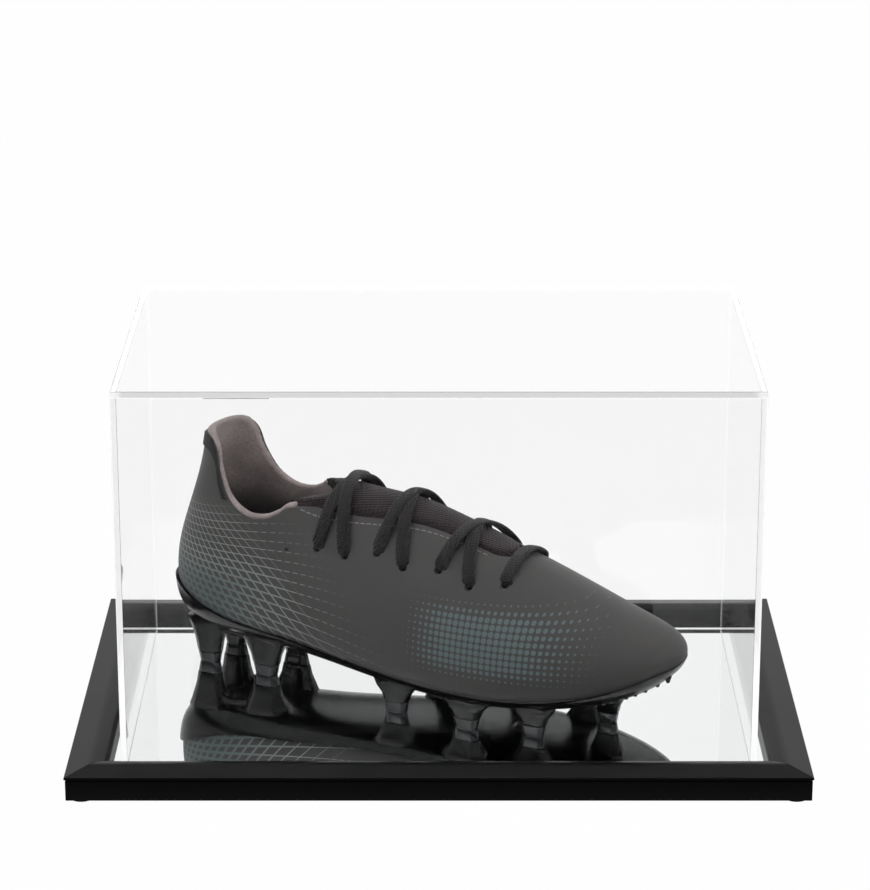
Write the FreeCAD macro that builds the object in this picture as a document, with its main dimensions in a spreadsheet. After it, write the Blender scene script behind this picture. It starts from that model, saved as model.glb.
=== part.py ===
"""Football boot display case: black moulded base, mirror floor, clear lift-off cover and a boot inside.

Frame: millimetres, +Z up, +X to the right and +Y to the back, with the origin under the middle of the base.
The boot is modelled in its own frame, with X from heel to toe, Y towards the inner side of the foot and Z up
from the mirror, and is then turned and set down on the mirror.
"""

import FreeCAD
import Part
import Sketcher

import math
import os

Vector = FreeCAD.Vector
doc = FreeCAD.newDocument("display_case")

# Driving dimensions: alias, value in millimetres or degrees
SIZES = (
    ("base_width", 360.0),
    ("base_depth", 242.0),
    ("foot_height", 1.2),
    ("foot_radius", 6.0),
    ("rail_width", 20.0),
    ("rebate_width", 5.0),
    ("plinth_inset", 0.6),
    ("plinth_height", 10.2),
    ("quirk_depth", 0.9),
    ("quirk_height", 0.7),
    ("nose_height", 1.2),
    ("crest_offset", 12.5),
    ("crest_height", 14.8),
    ("crest_radius", 9.0),
    ("shoulder_width", 1.8),
    ("shoulder_drop", 1.6),
    ("shoulder_radius", 2.2),
    ("nose_radius", 0.5),
    ("board_thickness", 2.2),
    ("mirror_thickness", 3.0),
    ("rebate_clearance", 0.5),
    ("nail_leg", 5.0),
    ("nail_height", 7.0),
    ("nail_gauge", 0.5),
    ("nail_inset", 8.0),
    ("nail_spacing", 5.0),
    ("point_length", 12.0),
    ("point_width", 5.0),
    ("point_gauge", 0.5),
    ("point_bite", 5.0),
    ("point_cover", 0.6),
    ("point_spacing", 80.0),
    ("cover_side_gap", 5.0),
    ("cover_end_gap", 7.5),
    ("cover_height", 191.0),
    ("panel_thickness", 3.0),
    ("boot_width", 92.0),
    ("boot_height", 132.0),
    ("boot_end_room", 49.6),
    ("boot_corner_gain", 35.0),
    ("boot_middle_x", -7.3),
    ("boot_middle_y", 6.0),
    ("upper_wall", 1.8),
    ("lining_thickness", 3.0),
    ("lining_rise", 1.3),
    ("tongue_gap", 0.3),
    ("tongue_thickness", 3.4),
    ("tongue_half_width", 27.0),
    ("throat_half_width", 21.0),
    ("throat_length", 104.0),
    ("binding_thickness", 0.9),
    ("binding_width", 6.0),
    ("plate_thickness", 1.8),
    ("board_layer", 1.6),
    ("sockliner_thickness", 4.0),
    ("tip_height", 6.0),
    ("stud_draft", 0.7),
    ("lace_width", 6.4),
    ("lace_thickness", 1.7),
    ("eyelet_radius", 2.2),
)


def make_sheet():
    """The spreadsheet that holds the driving dimensions, one alias to a row."""
    sheet = doc.addObject("Spreadsheet::Sheet", "sizes")
    for row, (alias, value) in enumerate(SIZES, start=1):
        sheet.set(f"A{row}", alias)
        sheet.set(f"B{row}", str(value))
        sheet.setAlias(f"B{row}", alias)
    doc.recompute()
    return sheet


sheet = make_sheet()


def size(alias):
    """A driving dimension, read from the sheet."""
    return float(sheet.get(alias))


def bind(obj, **expressions):
    """Ties properties of obj to sheet expressions; a double underscore stands for a dot."""
    for name, expression in expressions.items():
        obj.setExpression(name.replace("__", "."), expression)
    return obj


def s(expression):
    """Writes each sheet alias in an expression with its sheet's name."""
    words = {alias for alias, _ in SIZES}
    out, word = "", ""
    for char in expression + " ":
        if char.isalnum() or char == "_":
            word += char
            continue
        out += ("sizes." + word if word in words else word) + char
        word = ""
    return out.strip()


REBATE_DEPTH = "point_cover + point_gauge + board_thickness + mirror_thickness"
COVER_WIDTH = "base_width - 2 * (rail_width + cover_side_gap)"
COVER_DEPTH = "base_depth - 2 * (rail_width + cover_end_gap)"
BOARD_LEVEL = "foot_height + point_cover + point_gauge"
MIRROR_BOTTOM = BOARD_LEVEL + " + board_thickness"
MIRROR_LEVEL = MIRROR_BOTTOM + " + mirror_thickness"

# Base: four mitred lengths of moulding

RAIL_PROFILE = (
    ("plinth_inset", "0"),
    ("plinth_inset", "plinth_height"),
    ("plinth_inset + quirk_depth", "plinth_height"),
    ("plinth_inset + quirk_depth", "plinth_height + quirk_height"),
    ("0", "plinth_height + quirk_height"),
    ("0", "plinth_height + quirk_height + nose_height"),
    ("crest_offset", "crest_height"),
    ("rail_width - shoulder_width", "crest_height - shoulder_drop"),
    ("rail_width", "crest_height - shoulder_drop - shoulder_width"),
    ("rail_width", REBATE_DEPTH),
    ("rail_width - rebate_width", REBATE_DEPTH),
    ("rail_width - rebate_width", "0"),
)
ROUNDED = {5: "nose_radius", 6: "crest_radius", 7: "shoulder_radius", 8: "shoulder_radius"}


def value_of(expression):
    """The number that a sum of aliases and numbers gives, each with or without a divisor."""
    total, sign = 0.0, 1.0
    for token in expression.replace("-", " - ").replace("+", " + ").split():
        if token in "+-":
            sign = 1.0 if token == "+" else -1.0
            continue
        name, _, divisor = token.partition("/")
        amount = size(name) if not name.replace(".", "").isdigit() else float(name)
        total += sign * amount / (float(divisor) if divisor else 1.0)
        sign = 1.0
    return total


def plane(body, role):
    """One of a body's own origin planes."""
    return next(f for f in body.Origin.OriginFeatures if f.Role == role)


def polygon_sketch(body, name, role, points):
    """A closed outline on an origin plane, each corner tied to a pair of sheet expressions."""
    sketch = body.newObject("Sketcher::SketchObject", name)
    sketch.AttachmentSupport = [(plane(body, role), "")]
    sketch.MapMode = "FlatFace"
    corners = [Vector(value_of(u), value_of(v), 0) for u, v in points]
    for start, end in zip(corners, corners[1:] + corners[:1]):
        sketch.addGeometry(Part.LineSegment(start, end), False)
    count = len(points)
    for i in range(count):
        sketch.addConstraint(Sketcher.Constraint("Coincident", i, 2, (i + 1) % count, 1))
    for i, (u, v) in enumerate(points):
        for kind, expression, at in (("DistanceX", u, corners[i].x), ("DistanceY", v, corners[i].y)):
            if expression == "0":
                axis = -2 if kind == "DistanceX" else -1
                sketch.addConstraint(Sketcher.Constraint("PointOnObject", i, 1, axis))
                continue
            index = sketch.addConstraint(Sketcher.Constraint(kind, -1, 1, i, 1, at))
            sketch.setExpression(f"Constraints[{index}]", s(expression))
    return sketch


def edge_names(shape, corner, tolerance=1e-4):
    """The edges along X that stand at a (Y, Z) corner of a profile."""
    names = []
    for number, edge in enumerate(shape.Edges, start=1):
        points = [v.Point for v in edge.Vertexes]
        if len(points) == 2 and all(math.hypot(p.y - corner[0], p.z - corner[1]) < tolerance for p in points):
            names.append(f"Edge{number}")
    return names


def make_rail(label, length, turn, place):
    """One length of moulding, with its outer face on the body's XZ plane, mitred at both ends."""
    body = doc.addObject("PartDesign::Body", label)
    profile = polygon_sketch(body, label + "_profile", "YZ_Plane", RAIL_PROFILE)
    pad = body.newObject("PartDesign::Pad", label + "_length")
    pad.Profile = profile
    pad.SideType = "Symmetric"
    bind(pad, Length=s(length))
    doc.recompute()
    last = pad
    for number, radius in ROUNDED.items():
        corner = [value_of(e) for e in RAIL_PROFILE[number]]
        fillet = body.newObject("PartDesign::Fillet", f"{label}_round_{number}")
        fillet.Base = (last, edge_names(last.Shape, corner))
        bind(fillet, Radius=s(radius))
        doc.recompute()
        last = fillet
    end = f"{length}/2"
    mitre = polygon_sketch(
        body,
        label + "_mitre",
        "XY_Plane",
        ((end, "0"), (end, "rail_width"), (f"{end} - rail_width", "rail_width")),
    )
    cut = body.newObject("PartDesign::Pocket", label + "_mitre_cut")
    cut.Profile = mitre
    cut.Type = "ThroughAll"
    cut.SideType = "Symmetric"
    doc.recompute()
    both = body.newObject("PartDesign::Mirrored", label + "_mitres")
    both.Originals = [cut]
    both.MirrorPlane = (plane(body, "YZ_Plane"), [""])
    body.Tip = both
    body.Placement.Rotation = FreeCAD.Rotation(Vector(0, 0, 1), turn)
    bind(body, Placement__Base__z=s("foot_height"), **place)
    return body


def make_box(label, length, width, height, middle_x, middle_y, bottom):
    """A flat sheet, centred on a point in plan and standing on a level."""
    box = doc.addObject("Part::Box", label)
    bind(box, Length=s(length), Width=s(width), Height=s(height))
    bind(
        box,
        Placement__Base__x=s(f"{middle_x} - ({length})/2"),
        Placement__Base__y=s(f"{middle_y} - ({width})/2"),
        Placement__Base__z=s(bottom),
    )
    return box


def make_group(label, shapes):
    """One node of several separate solids."""
    group = doc.addObject("Part::Feature", label)
    group.Shape = Part.Compound(shapes)
    return group


def make_piece(label, shape):
    """One node whose free-form solid is set directly."""
    piece = doc.addObject("Part::Feature", label)
    piece.Shape = shape
    return piece


def make_base():
    """Rails, backing board, mirror and the fixings and feet under them."""
    make_rail("front_rail", "base_width", 0, {"Placement__Base__y": s("-base_depth/2")})
    make_rail("back_rail", "base_width", 180, {"Placement__Base__y": s("base_depth/2")})
    make_rail("left_rail", "base_depth", -90, {"Placement__Base__x": s("-base_width/2")})
    make_rail("right_rail", "base_depth", 90, {"Placement__Base__x": s("base_width/2")})
    inside = "2 * (rail_width - rebate_width + rebate_clearance)"
    sheet_size = (f"base_width - {inside}", f"base_depth - {inside}")
    make_box("backing_board", *sheet_size, "board_thickness", "0", "0", BOARD_LEVEL)
    make_box("mirror_plate", *sheet_size, "mirror_thickness", "0", "0", MIRROR_BOTTOM)
    make_group("corner_v_nails", v_nails())
    make_group("retaining_points", retaining_points())
    make_group("felt_feet", felt_feet())


def corners(inset):
    """The four plan corners of the base, moved in along both sides, with their outward signs."""
    half_x, half_y = size("base_width") / 2 - inset, size("base_depth") / 2 - inset
    return [(sx, sy, Vector(sx * half_x, sy * half_y, 0)) for sx in (-1, 1) for sy in (-1, 1)]


def v_nails():
    """Two bent steel wedges across the underside of each mitre, points inwards, driven up into the wood."""
    nails = []
    for sx, sy, _ in corners(0):
        for step in (0, 1):
            inset = size("nail_inset") + step * size("nail_spacing") - size("nail_leg") / 2
            at = next(p for x, y, p in corners(inset) if (x, y) == (sx, sy))
            turn = math.degrees(math.atan2(-sy, -sx)) - 90
            nails.append(v_nail(at, turn))
    return nails


def v_nail(at, turn):
    """One V of steel strip, its point at a plan position and its legs opening along the mitre."""
    leg, gauge = size("nail_leg"), size("nail_gauge")
    outer = [Vector(-leg / 2, leg / 2, 0), Vector(0, 0, 0), Vector(leg / 2, leg / 2, 0)]
    inner = [p + Vector(0, gauge * math.sqrt(2), 0) for p in reversed(outer)]
    face = Part.Face(Part.makePolygon(outer + inner + outer[:1]))
    nail = face.extrude(Vector(0, 0, size("nail_height")))
    nail.rotate(Vector(0, 0, 0), Vector(0, 0, 1), turn)
    nail.translate(at + Vector(0, 0, size("foot_height")))
    return nail


def retaining_points():
    """Flat steel points driven into the rebate, under the board, to hold it up."""
    long, wide, gauge = size("point_length"), size("point_width"), size("point_gauge")
    half_x = size("base_width") / 2 - size("rail_width") + size("rebate_width")
    half_y = size("base_depth") / 2 - size("rail_width") + size("rebate_width")
    shift = size("point_bite") - long / 2
    places = []
    for side in (-1, 1):
        for step in (-1, 0, 1):
            places.append((step * size("point_spacing"), side * (half_y + shift), 90))
        for step in (-0.5, 0.5):
            places.append((side * (half_x + shift), step * size("point_spacing"), 0))
    points = []
    for x, y, turn in places:
        point = Part.makeBox(long, wide, gauge, Vector(-long / 2, -wide / 2, 0))
        point.rotate(Vector(0, 0, 0), Vector(0, 0, 1), turn)
        point.translate(Vector(x, y, size("foot_height") + size("point_cover")))
        points.append(point)
    return points


def felt_feet():
    """A felt disc under each corner."""
    inset = (size("rail_width") - size("rebate_width") + size("plinth_inset")) / 2
    return [
        Part.makeCylinder(size("foot_radius"), size("foot_height"), at)
        for _, _, at in corners(inset)
    ]


def make_cover():
    """Five clear sheets: the top lies over the walls, and the sides stand between the front and the back."""
    wall = "panel_thickness"
    wall_height = "cover_height - panel_thickness"
    across = f"({COVER_DEPTH})/2 - panel_thickness/2"
    aside = f"({COVER_WIDTH})/2 - panel_thickness/2"
    make_box("cover_front", COVER_WIDTH, wall, wall_height, "0", f"-({across})", MIRROR_LEVEL)
    make_box("cover_back", COVER_WIDTH, wall, wall_height, "0", across, MIRROR_LEVEL)
    side_length = f"{COVER_DEPTH} - 2 * panel_thickness"
    make_box("cover_left", wall, side_length, wall_height, f"-({aside})", "0", MIRROR_LEVEL)
    make_box("cover_right", wall, side_length, wall_height, aside, "0", MIRROR_LEVEL)
    top_level = f"{MIRROR_LEVEL} + cover_height - panel_thickness"
    make_box("cover_top", COVER_WIDTH, COVER_DEPTH, wall, "0", "0", top_level)


def boot_reach():
    """The boot's length along and across the case, from heel to toe, that the room inside the cover allows."""
    walls = 2 * size("panel_thickness")
    along = size("base_width") - 2 * (size("rail_width") + size("cover_side_gap")) - walls
    across = size("base_depth") - 2 * (size("rail_width") + size("cover_end_gap")) - walls
    return along - size("boot_end_room"), across - size("boot_width") + size("boot_corner_gain")


def boot_length():
    """The boot's length, heel to toe."""
    return math.hypot(*boot_reach())


def boot_turn():
    """How far the boot is turned in plan, toe towards the front, in radians."""
    along, across = boot_reach()
    return math.atan2(across, along)


# Boot: sections of the last, from the collar round the heel and along the foot to the toe.
# Each row is a tilted ring: its heel or sole point and its instep point as shares of the boot's length and
# height, its outer and inner half widths as shares of the boot's width, where along the ring it is widest, and
# how square its lower and upper halves are.
STATION_SHARES = (
    (0.070, 1.000, 0.275, 0.830, 0.26, 0.26, 0.45, 2.3, 2.3),
    (0.058, 0.830, 0.290, 0.815, 0.28, 0.28, 0.45, 2.3, 2.3),
    (0.030, 0.650, 0.315, 0.805, 0.31, 0.31, 0.45, 2.3, 2.2),
    (0.006, 0.490, 0.345, 0.800, 0.34, 0.33, 0.43, 2.3, 2.1),
    (0.000, 0.340, 0.385, 0.800, 0.35, 0.34, 0.40, 2.3, 2.0),
    (0.020, 0.185, 0.430, 0.798, 0.36, 0.34, 0.38, 2.5, 2.0),
    (0.130, 0.150, 0.475, 0.792, 0.37, 0.35, 0.36, 2.8, 2.0),
    (0.290, 0.140, 0.520, 0.776, 0.40, 0.36, 0.34, 3.0, 2.0),
    (0.430, 0.110, 0.570, 0.740, 0.46, 0.40, 0.32, 3.2, 2.0),
    (0.560, 0.088, 0.636, 0.685, 0.51, 0.46, 0.32, 3.2, 2.0),
    (0.680, 0.084, 0.720, 0.618, 0.52, 0.49, 0.33, 3.2, 2.0),
    (0.790, 0.100, 0.810, 0.530, 0.47, 0.48, 0.36, 3.0, 2.0),
    (0.880, 0.135, 0.893, 0.450, 0.37, 0.43, 0.40, 2.8, 2.0),
    (0.945, 0.180, 0.953, 0.400, 0.24, 0.36, 0.44, 2.5, 2.0),
    (0.980, 0.238, 0.984, 0.358, 0.08, 0.24, 0.47, 2.2, 2.0),
    (0.994, 0.282, 0.996, 0.322, -0.03, 0.13, 0.50, 2.0, 2.0),
)
RING_POINTS = 20
LEAST_HALF_WIDTH = 2.5


def ring(station, inward):
    """A closed curve round the last at one station, moved inwards, or None where nothing is left."""
    sole_s, sole_z, top_s, top_z, outer, inner, widest, square_low, square_top = station
    length, height, width = boot_length(), size("boot_height"), size("boot_width")
    sole = Vector(sole_s * length, 0, sole_z * height)
    top = Vector(top_s * length, 0, top_z * height)
    along = (top - sole).normalize()
    sole, top = sole + along * inward, top - along * inward
    middle = (inner - outer) * width / 2
    half = (inner + outer) * width / 2 - inward
    if half < LEAST_HALF_WIDTH or (top - sole).dot(along) < LEAST_HALF_WIDTH:
        return None
    points = []
    for i in range(RING_POINTS):
        angle = 2 * math.pi * i / RING_POINTS
        square = square_low if math.cos(angle) >= 0 else square_top
        rise = abs(math.cos(angle)) ** (2 / square)
        share = widest * (1 - rise) if math.cos(angle) >= 0 else widest + (1 - widest) * rise
        side = math.copysign(abs(math.sin(angle)) ** (2 / square), -math.sin(angle))
        points.append(sole + (top - sole) * share + Vector(0, middle + half * side, 0))
    return points


def last(inward):
    """The boot's outer form as a closed solid, moved inwards by a distance.

    One smooth skin, closed round the boot, is drawn through the rings; flat ends close it at collar and toe.
    """
    rings = [r for r in (ring(station, inward) for station in STATION_SHARES) if r is not None]
    poles = [[points[i] for points in rings] for i in range(RING_POINTS)]
    round_knots = list(range(RING_POINTS + 1))
    along_knots = list(range(len(rings) - 2))
    skin = Part.BSplineSurface()
    skin.buildFromPolesMultsKnots(
        poles,
        [1] * len(round_knots),
        [4] + [1] * (len(along_knots) - 2) + [4],
        round_knots,
        along_knots,
        True,
        False,
        3,
        3,
    )
    side = skin.toShape()
    ends = [e for e in side.Edges if e.isClosed() and not e.isSeam(side)]
    shell = Part.makeShell([side] + [Part.Face(Part.Wire([e])) for e in ends])
    shell.sewShape()
    return Part.Solid(shell)


def side_region(line, corners_beyond):
    """A side-view outline drawn right across the boot: a smooth line, closed through straight-joined corners.

    Both are given in shares of the boot's length and height.
    """
    length, height, width = boot_length(), size("boot_height"), size("boot_width")
    smooth = [Vector(x * length, -width, z * height) for x, z in line]
    beyond = [Vector(x * length, -width, z * height) for x, z in corners_beyond]
    curve = Part.BSplineCurve()
    curve.interpolate(Points=smooth)
    edges = [curve.toShape()] + Part.makePolygon(smooth[-1:] + beyond + smooth[:1]).Edges
    return Part.Face(Part.Wire(edges)).extrude(Vector(0, 2 * width, 0))


COLLAR_SHARES = (
    (0.038, 0.900),
    (0.068, 0.950),
    (0.100, 0.952),
    (0.119, 0.910),
    (0.130, 0.825),
    (0.152, 0.735),
    (0.188, 0.682),
    (0.226, 0.680),
    (0.252, 0.705),
    (0.282, 0.735),
    (0.430, 0.752),
)
SKY = 1.4
PLATE_SHARES = (
    (-0.05, 0.270),
    (0.03, 0.250),
    (0.12, 0.212),
    (0.29, 0.192),
    (0.43, 0.150),
    (0.56, 0.122),
    (0.70, 0.118),
    (0.80, 0.138),
    (0.88, 0.176),
    (0.95, 0.232),
    (1.02, 0.290),
)
GROUND = -0.2


def above_collar():
    """Everything over the collar's edge, from the heel tab to the instep."""
    beyond = ((COLLAR_SHARES[-1][0], SKY), (-0.1, SKY), (-0.1, COLLAR_SHARES[0][1]))
    return side_region(COLLAR_SHARES, beyond)


def below_plate_edge():
    """Everything under the upper edge of the sole plate."""
    return side_region(PLATE_SHARES, ((PLATE_SHARES[-1][0], GROUND), (PLATE_SHARES[0][0], GROUND)))


def throat(half_width, start, finish, bottom):
    """A tapered plan slot over the instep, with a round end towards the toe, as a tall solid."""
    length, height = boot_length(), size("boot_height")
    toe_half = half_width * 0.62
    a, b = Vector(start, -half_width, bottom), Vector(finish, -toe_half, bottom)
    c, d = Vector(finish, toe_half, bottom), Vector(start, half_width, bottom)
    tip = Vector(finish + toe_half, 0, bottom)
    edges = [Part.LineSegment(a, b), Part.Arc(b, tip, c), Part.LineSegment(c, d), Part.LineSegment(d, a)]
    face = Part.Face(Part.Wire([e.toShape() for e in edges]))
    return face.extrude(Vector(0, 0, SKY * height))


def throat_start():
    """Where the throat opens out of the collar."""
    return COLLAR_SHARES[-2][0] * boot_length()


# Eyelets: share of the boot's length and height on each side, from the collar to the toe
EYELET_SHARES = (
    (0.335, 0.600),
    (0.392, 0.590),
    (0.455, 0.620),
    (0.512, 0.590),
    (0.580, 0.600),
    (0.642, 0.560),
    (0.700, 0.570),
)
# How far each lace run stands over the instep, from the collar to the toe
LACE_LIFTS = (7.5, 9.5, 6.5, 4.5, 5.5, 3.5, 3.0)


def lace_partner(outer):
    """The inner eyelet that an outer eyelet's run goes to: neighbours cross in pairs, the last is straight."""
    crossed = outer + 1 if outer % 2 == 0 else outer - 1
    return min(crossed, len(EYELET_SHARES) - 1)


def on_surface(form, x, z, side):
    """The point where a line across the boot at a length and height comes out of a form, on one side."""
    reach = size("boot_width")
    line = Part.LineSegment(Vector(x, 0, z), Vector(x, side * reach, z)).toShape()
    hits = line.common(form)
    return max((v.Point for v in hits.Vertexes), key=lambda p: side * p.y)


def ridge_height(form, x):
    """How high a form stands on its middle line at a length."""
    line = Part.LineSegment(Vector(x, 0, 0), Vector(x, 0, 2 * size("boot_height"))).toShape()
    return max(v.Point.z for v in line.common(form).Vertexes)


def lace_run(form, outer, lift):
    """A flat lace that bows from an eyelet on the outer side, over the tongue, to one on the inner side."""
    length, height = boot_length(), size("boot_height")
    (x1, z1), (x2, z2) = EYELET_SHARES[outer], EYELET_SHARES[lace_partner(outer)]
    start = on_surface(form, x1 * length, z1 * height, -1)
    end = on_surface(form, x2 * length, z2 * height, 1)
    x = (start.x + end.x) / 2
    top = Vector(x, 0, ridge_height(form, x) + lift)
    bow = Part.Arc(start, top, end).toShape()
    centre, axis = bow.Curve.Center, bow.Curve.Axis
    radial = (start - centre).normalize()
    across = axis * (size("lace_width") / 2)
    out = radial * (size("lace_thickness") / 2)
    section = [start - across - out, start + across - out, start + across + out, start - across + out]
    face = Part.Face(Part.makePolygon(section + section[:1]))
    sweep = math.degrees(bow.LastParameter - bow.FirstParameter)
    return face.revolve(centre, axis, sweep)


# Studs: share of the length, distance to the inner side, blade length and width at the tip
STUDS = (
    (0.080, -14.0, 12.0, 6.5),
    (0.080, 14.0, 12.0, 6.5),
    (0.205, -17.0, 13.0, 6.5),
    (0.205, 16.0, 13.0, 6.5),
    (0.500, -32.0, 12.0, 6.0),
    (0.500, 25.0, 12.0, 6.0),
    (0.645, -36.0, 13.0, 6.5),
    (0.645, 33.0, 13.0, 6.5),
    (0.710, -1.0, 9.0, 7.5),
    (0.765, -30.0, 12.0, 6.0),
    (0.770, 33.0, 12.0, 6.0),
    (0.860, 2.0, 10.0, 6.5),
)


def stud(share, inner, long, wide, low, high):
    """A tapered blade between two heights, spreading upwards."""
    spread = size("stud_draft") / size("tip_height")
    rings = []
    for level in (low, high):
        half_long, half_wide = long / 2 + level * spread, wide / 2 + level * spread
        at = Vector(share * boot_length(), inner, level)
        run = half_long - half_wide
        a, b = at + Vector(-run, -half_wide, 0), at + Vector(run, -half_wide, 0)
        c, d = at + Vector(run, half_wide, 0), at + Vector(-run, half_wide, 0)
        front, back = at + Vector(half_long, 0, 0), at + Vector(-half_long, 0, 0)
        edges = [Part.LineSegment(a, b), Part.Arc(b, front, c), Part.LineSegment(c, d), Part.Arc(d, back, a)]
        rings.append(Part.Wire([e.toShape() for e in edges]))
    return Part.makeLoft(rings, True, True)


def biggest(shape):
    """The largest solid of a shape that a cut has left in several."""
    return max(shape.Solids, key=lambda solid: solid.Volume)


def make_boot():
    """The boot's pieces, each turned and set down on the mirror."""
    form = last(0)
    wall = size("upper_wall")
    cavity = last(wall)
    collar_cut = above_collar()
    slot = throat(size("throat_half_width"), throat_start(), throat_start() + size("throat_length"),
                  0.45 * size("boot_height"))
    upper = form.cut(cavity).cut(collar_cut).cut(slot)
    for x, z in EYELET_SHARES:
        at = Vector(x * boot_length(), -size("boot_width"), z * size("boot_height"))
        upper = upper.cut(Part.makeCylinder(size("eyelet_radius"), 2 * size("boot_width"), at, Vector(0, 1, 0)))
    pieces = {"upper": biggest(upper)}

    lining_cut = collar_cut.copy()
    lining_cut.translate(Vector(0, 0, size("lining_rise")))
    inside = last(wall + size("lining_thickness"))
    collar_zone = Part.makeBox(
        throat_start(), 2 * size("boot_width"), SKY * size("boot_height"),
        Vector(0, -size("boot_width"), 0.4 * size("boot_height")),
    )
    pieces["collar_lining"] = biggest(cavity.cut(inside).cut(lining_cut).common(collar_zone))

    band = collar_cut.copy()
    band.translate(Vector(0, 0, -size("binding_width")))
    tab_zone = Part.makeBox(
        size("boot_width") / 2 + COLLAR_SHARES[5][0] * boot_length(), 2 * size("boot_width"),
        size("boot_height"),
        Vector(-size("boot_width") / 2, -size("boot_width"), COLLAR_SHARES[5][1] * size("boot_height")),
    )
    binding = last(-size("binding_thickness")).cut(form).common(band).cut(collar_cut).common(tab_zone)
    pieces["heel_tab_binding"] = biggest(binding)

    outer_skin = last(wall + size("tongue_gap"))
    inner_skin = last(wall + size("tongue_gap") + size("tongue_thickness"))
    strip = throat(size("tongue_half_width"), throat_start() + 1, throat_start() + size("throat_length") + 8,
                   0.55 * size("boot_height"))
    tongue = outer_skin.cut(inner_skin).common(strip)
    pieces["tongue"] = biggest(tongue)

    plate = last(-size("plate_thickness")).cut(form).common(below_plate_edge())
    stems, tips = [], []
    for share, inner, long, wide in STUDS:
        top = 0.2 * size("boot_height")
        stems.append(biggest(stud(share, inner, long, wide, size("tip_height"), top).cut(form)))
        tips.append(stud(share, inner, long, wide, 0, size("tip_height")))
    pieces["sole_plate"] = biggest(plate.multiFuse(stems))
    pieces["stud_tips"] = Part.Compound(tips)

    layer = last(wall + size("board_layer"))
    bed = last(wall + size("board_layer") + size("sockliner_thickness"))
    foot_zone = below_plate_edge()
    foot_zone.translate(Vector(0, 0, size("sockliner_thickness")))
    pieces["insole_board"] = biggest(cavity.cut(layer).common(below_plate_edge()))
    pieces["sockliner"] = biggest(layer.cut(bed).common(foot_zone))

    pieces["lace"] = Part.Compound([lace_run(form, i, lift) for i, lift in enumerate(LACE_LIFTS)])

    turn = boot_turn()
    half = boot_length() / 2
    heel = Vector(size("boot_middle_x") - half * math.cos(turn), size("boot_middle_y") + half * math.sin(turn), 0)
    heel.z = value_of(MIRROR_LEVEL)
    for label, shape in pieces.items():
        piece = make_piece(label, shape)
        piece.Placement = FreeCAD.Placement(heel, FreeCAD.Rotation(Vector(0, 0, 1), -math.degrees(turn)))


def check_and_write():
    """Stops on any failed object or bad shape, then writes each sub-part to its own file."""
    doc.recompute()
    failed = [o.Label for o in doc.Objects if {"Invalid", "Error"} & set(o.State)]
    if failed:
        raise RuntimeError(f"failed objects: {failed}")
    kinds = ("PartDesign::Body", "Part::Box", "Part::Feature")
    nodes = [o for o in doc.Objects if o.TypeId in kinds]
    os.makedirs("parts", exist_ok=True)
    for node in nodes:
        shape = node.Shape
        if shape.isNull() or not shape.isValid() or not shape.Solids:
            raise RuntimeError(f"{node.Label} has no valid solid")
        print(f"{node.Label}: {len(shape.Solids)} solids, {shape.Volume:.0f} mm3")
    for node in nodes:
        node.Shape.exportStep(f"parts/{node.Label}.step")


make_base()
make_cover()
make_boot()
check_and_write()
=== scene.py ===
"""Looks of a football boot display case: black moulded base, mirror floor, clear cover and a studded boot.

Metres, +Z up, +X to the right and +Y to the back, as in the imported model. The boot is worked out in its own
frame, with X from heel to toe, Y to the inner side of the foot and Z up from the mirror, and is then placed.
"""

from __future__ import annotations

import logging
import math
from dataclasses import dataclass, field
from enum import Enum
from typing import Any, Iterable, Sequence

import bmesh
import bpy
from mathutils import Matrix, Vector

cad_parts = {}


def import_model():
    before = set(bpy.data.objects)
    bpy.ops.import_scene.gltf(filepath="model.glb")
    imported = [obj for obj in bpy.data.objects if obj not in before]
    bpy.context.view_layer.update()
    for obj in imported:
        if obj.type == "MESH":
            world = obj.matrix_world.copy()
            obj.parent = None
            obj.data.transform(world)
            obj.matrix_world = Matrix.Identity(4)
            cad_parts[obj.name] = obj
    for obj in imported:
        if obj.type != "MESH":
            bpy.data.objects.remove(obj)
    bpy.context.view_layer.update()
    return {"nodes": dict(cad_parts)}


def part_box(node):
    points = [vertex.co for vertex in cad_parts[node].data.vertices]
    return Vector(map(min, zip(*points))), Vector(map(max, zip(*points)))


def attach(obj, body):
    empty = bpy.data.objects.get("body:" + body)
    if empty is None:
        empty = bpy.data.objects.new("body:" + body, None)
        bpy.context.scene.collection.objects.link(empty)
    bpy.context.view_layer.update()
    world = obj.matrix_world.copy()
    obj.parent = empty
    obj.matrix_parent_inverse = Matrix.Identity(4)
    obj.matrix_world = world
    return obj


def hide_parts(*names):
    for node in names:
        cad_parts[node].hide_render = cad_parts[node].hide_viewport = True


log = logging.getLogger("display_case")

MM = 0.001
FULL_TURN = 2 * math.pi
UP = Vector((0, 0, 1))
WHITE = "#ffffff"
Points = list[Vector]
Pairs = Sequence[tuple[float, float]]
Piece = bpy.types.Object
Tree = bpy.types.NodeTree


class Body(Enum):
    """The rigid bodies that pieces ride on."""

    BASE = "base"
    COVER = "cover"
    BOOT = "boot"


class Cut(Enum):
    """What a cutting shape does to a piece."""

    AWAY = "DIFFERENCE"
    KEEP = "INTERSECT"


class Side(Enum):
    """The outer and inner sides of the foot, as directions across the boot."""

    OUTER = -1
    INNER = 1


# Small tools


def srgb(code: str) -> tuple[float, float, float, float]:
    """Turns an sRGB hex colour into linear red, green, blue and alpha.

    Args:
        code: Six hex digits with a leading hash.

    Returns:
        Linear components with an alpha of one.
    """
    parts = [int(code[i : i + 2], 16) / 255 for i in (1, 3, 5)]
    linear = [c / 12.92 if c <= 0.04045 else ((c + 0.055) / 1.055) ** 2.4 for c in parts]
    return linear[0], linear[1], linear[2], 1.0


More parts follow.
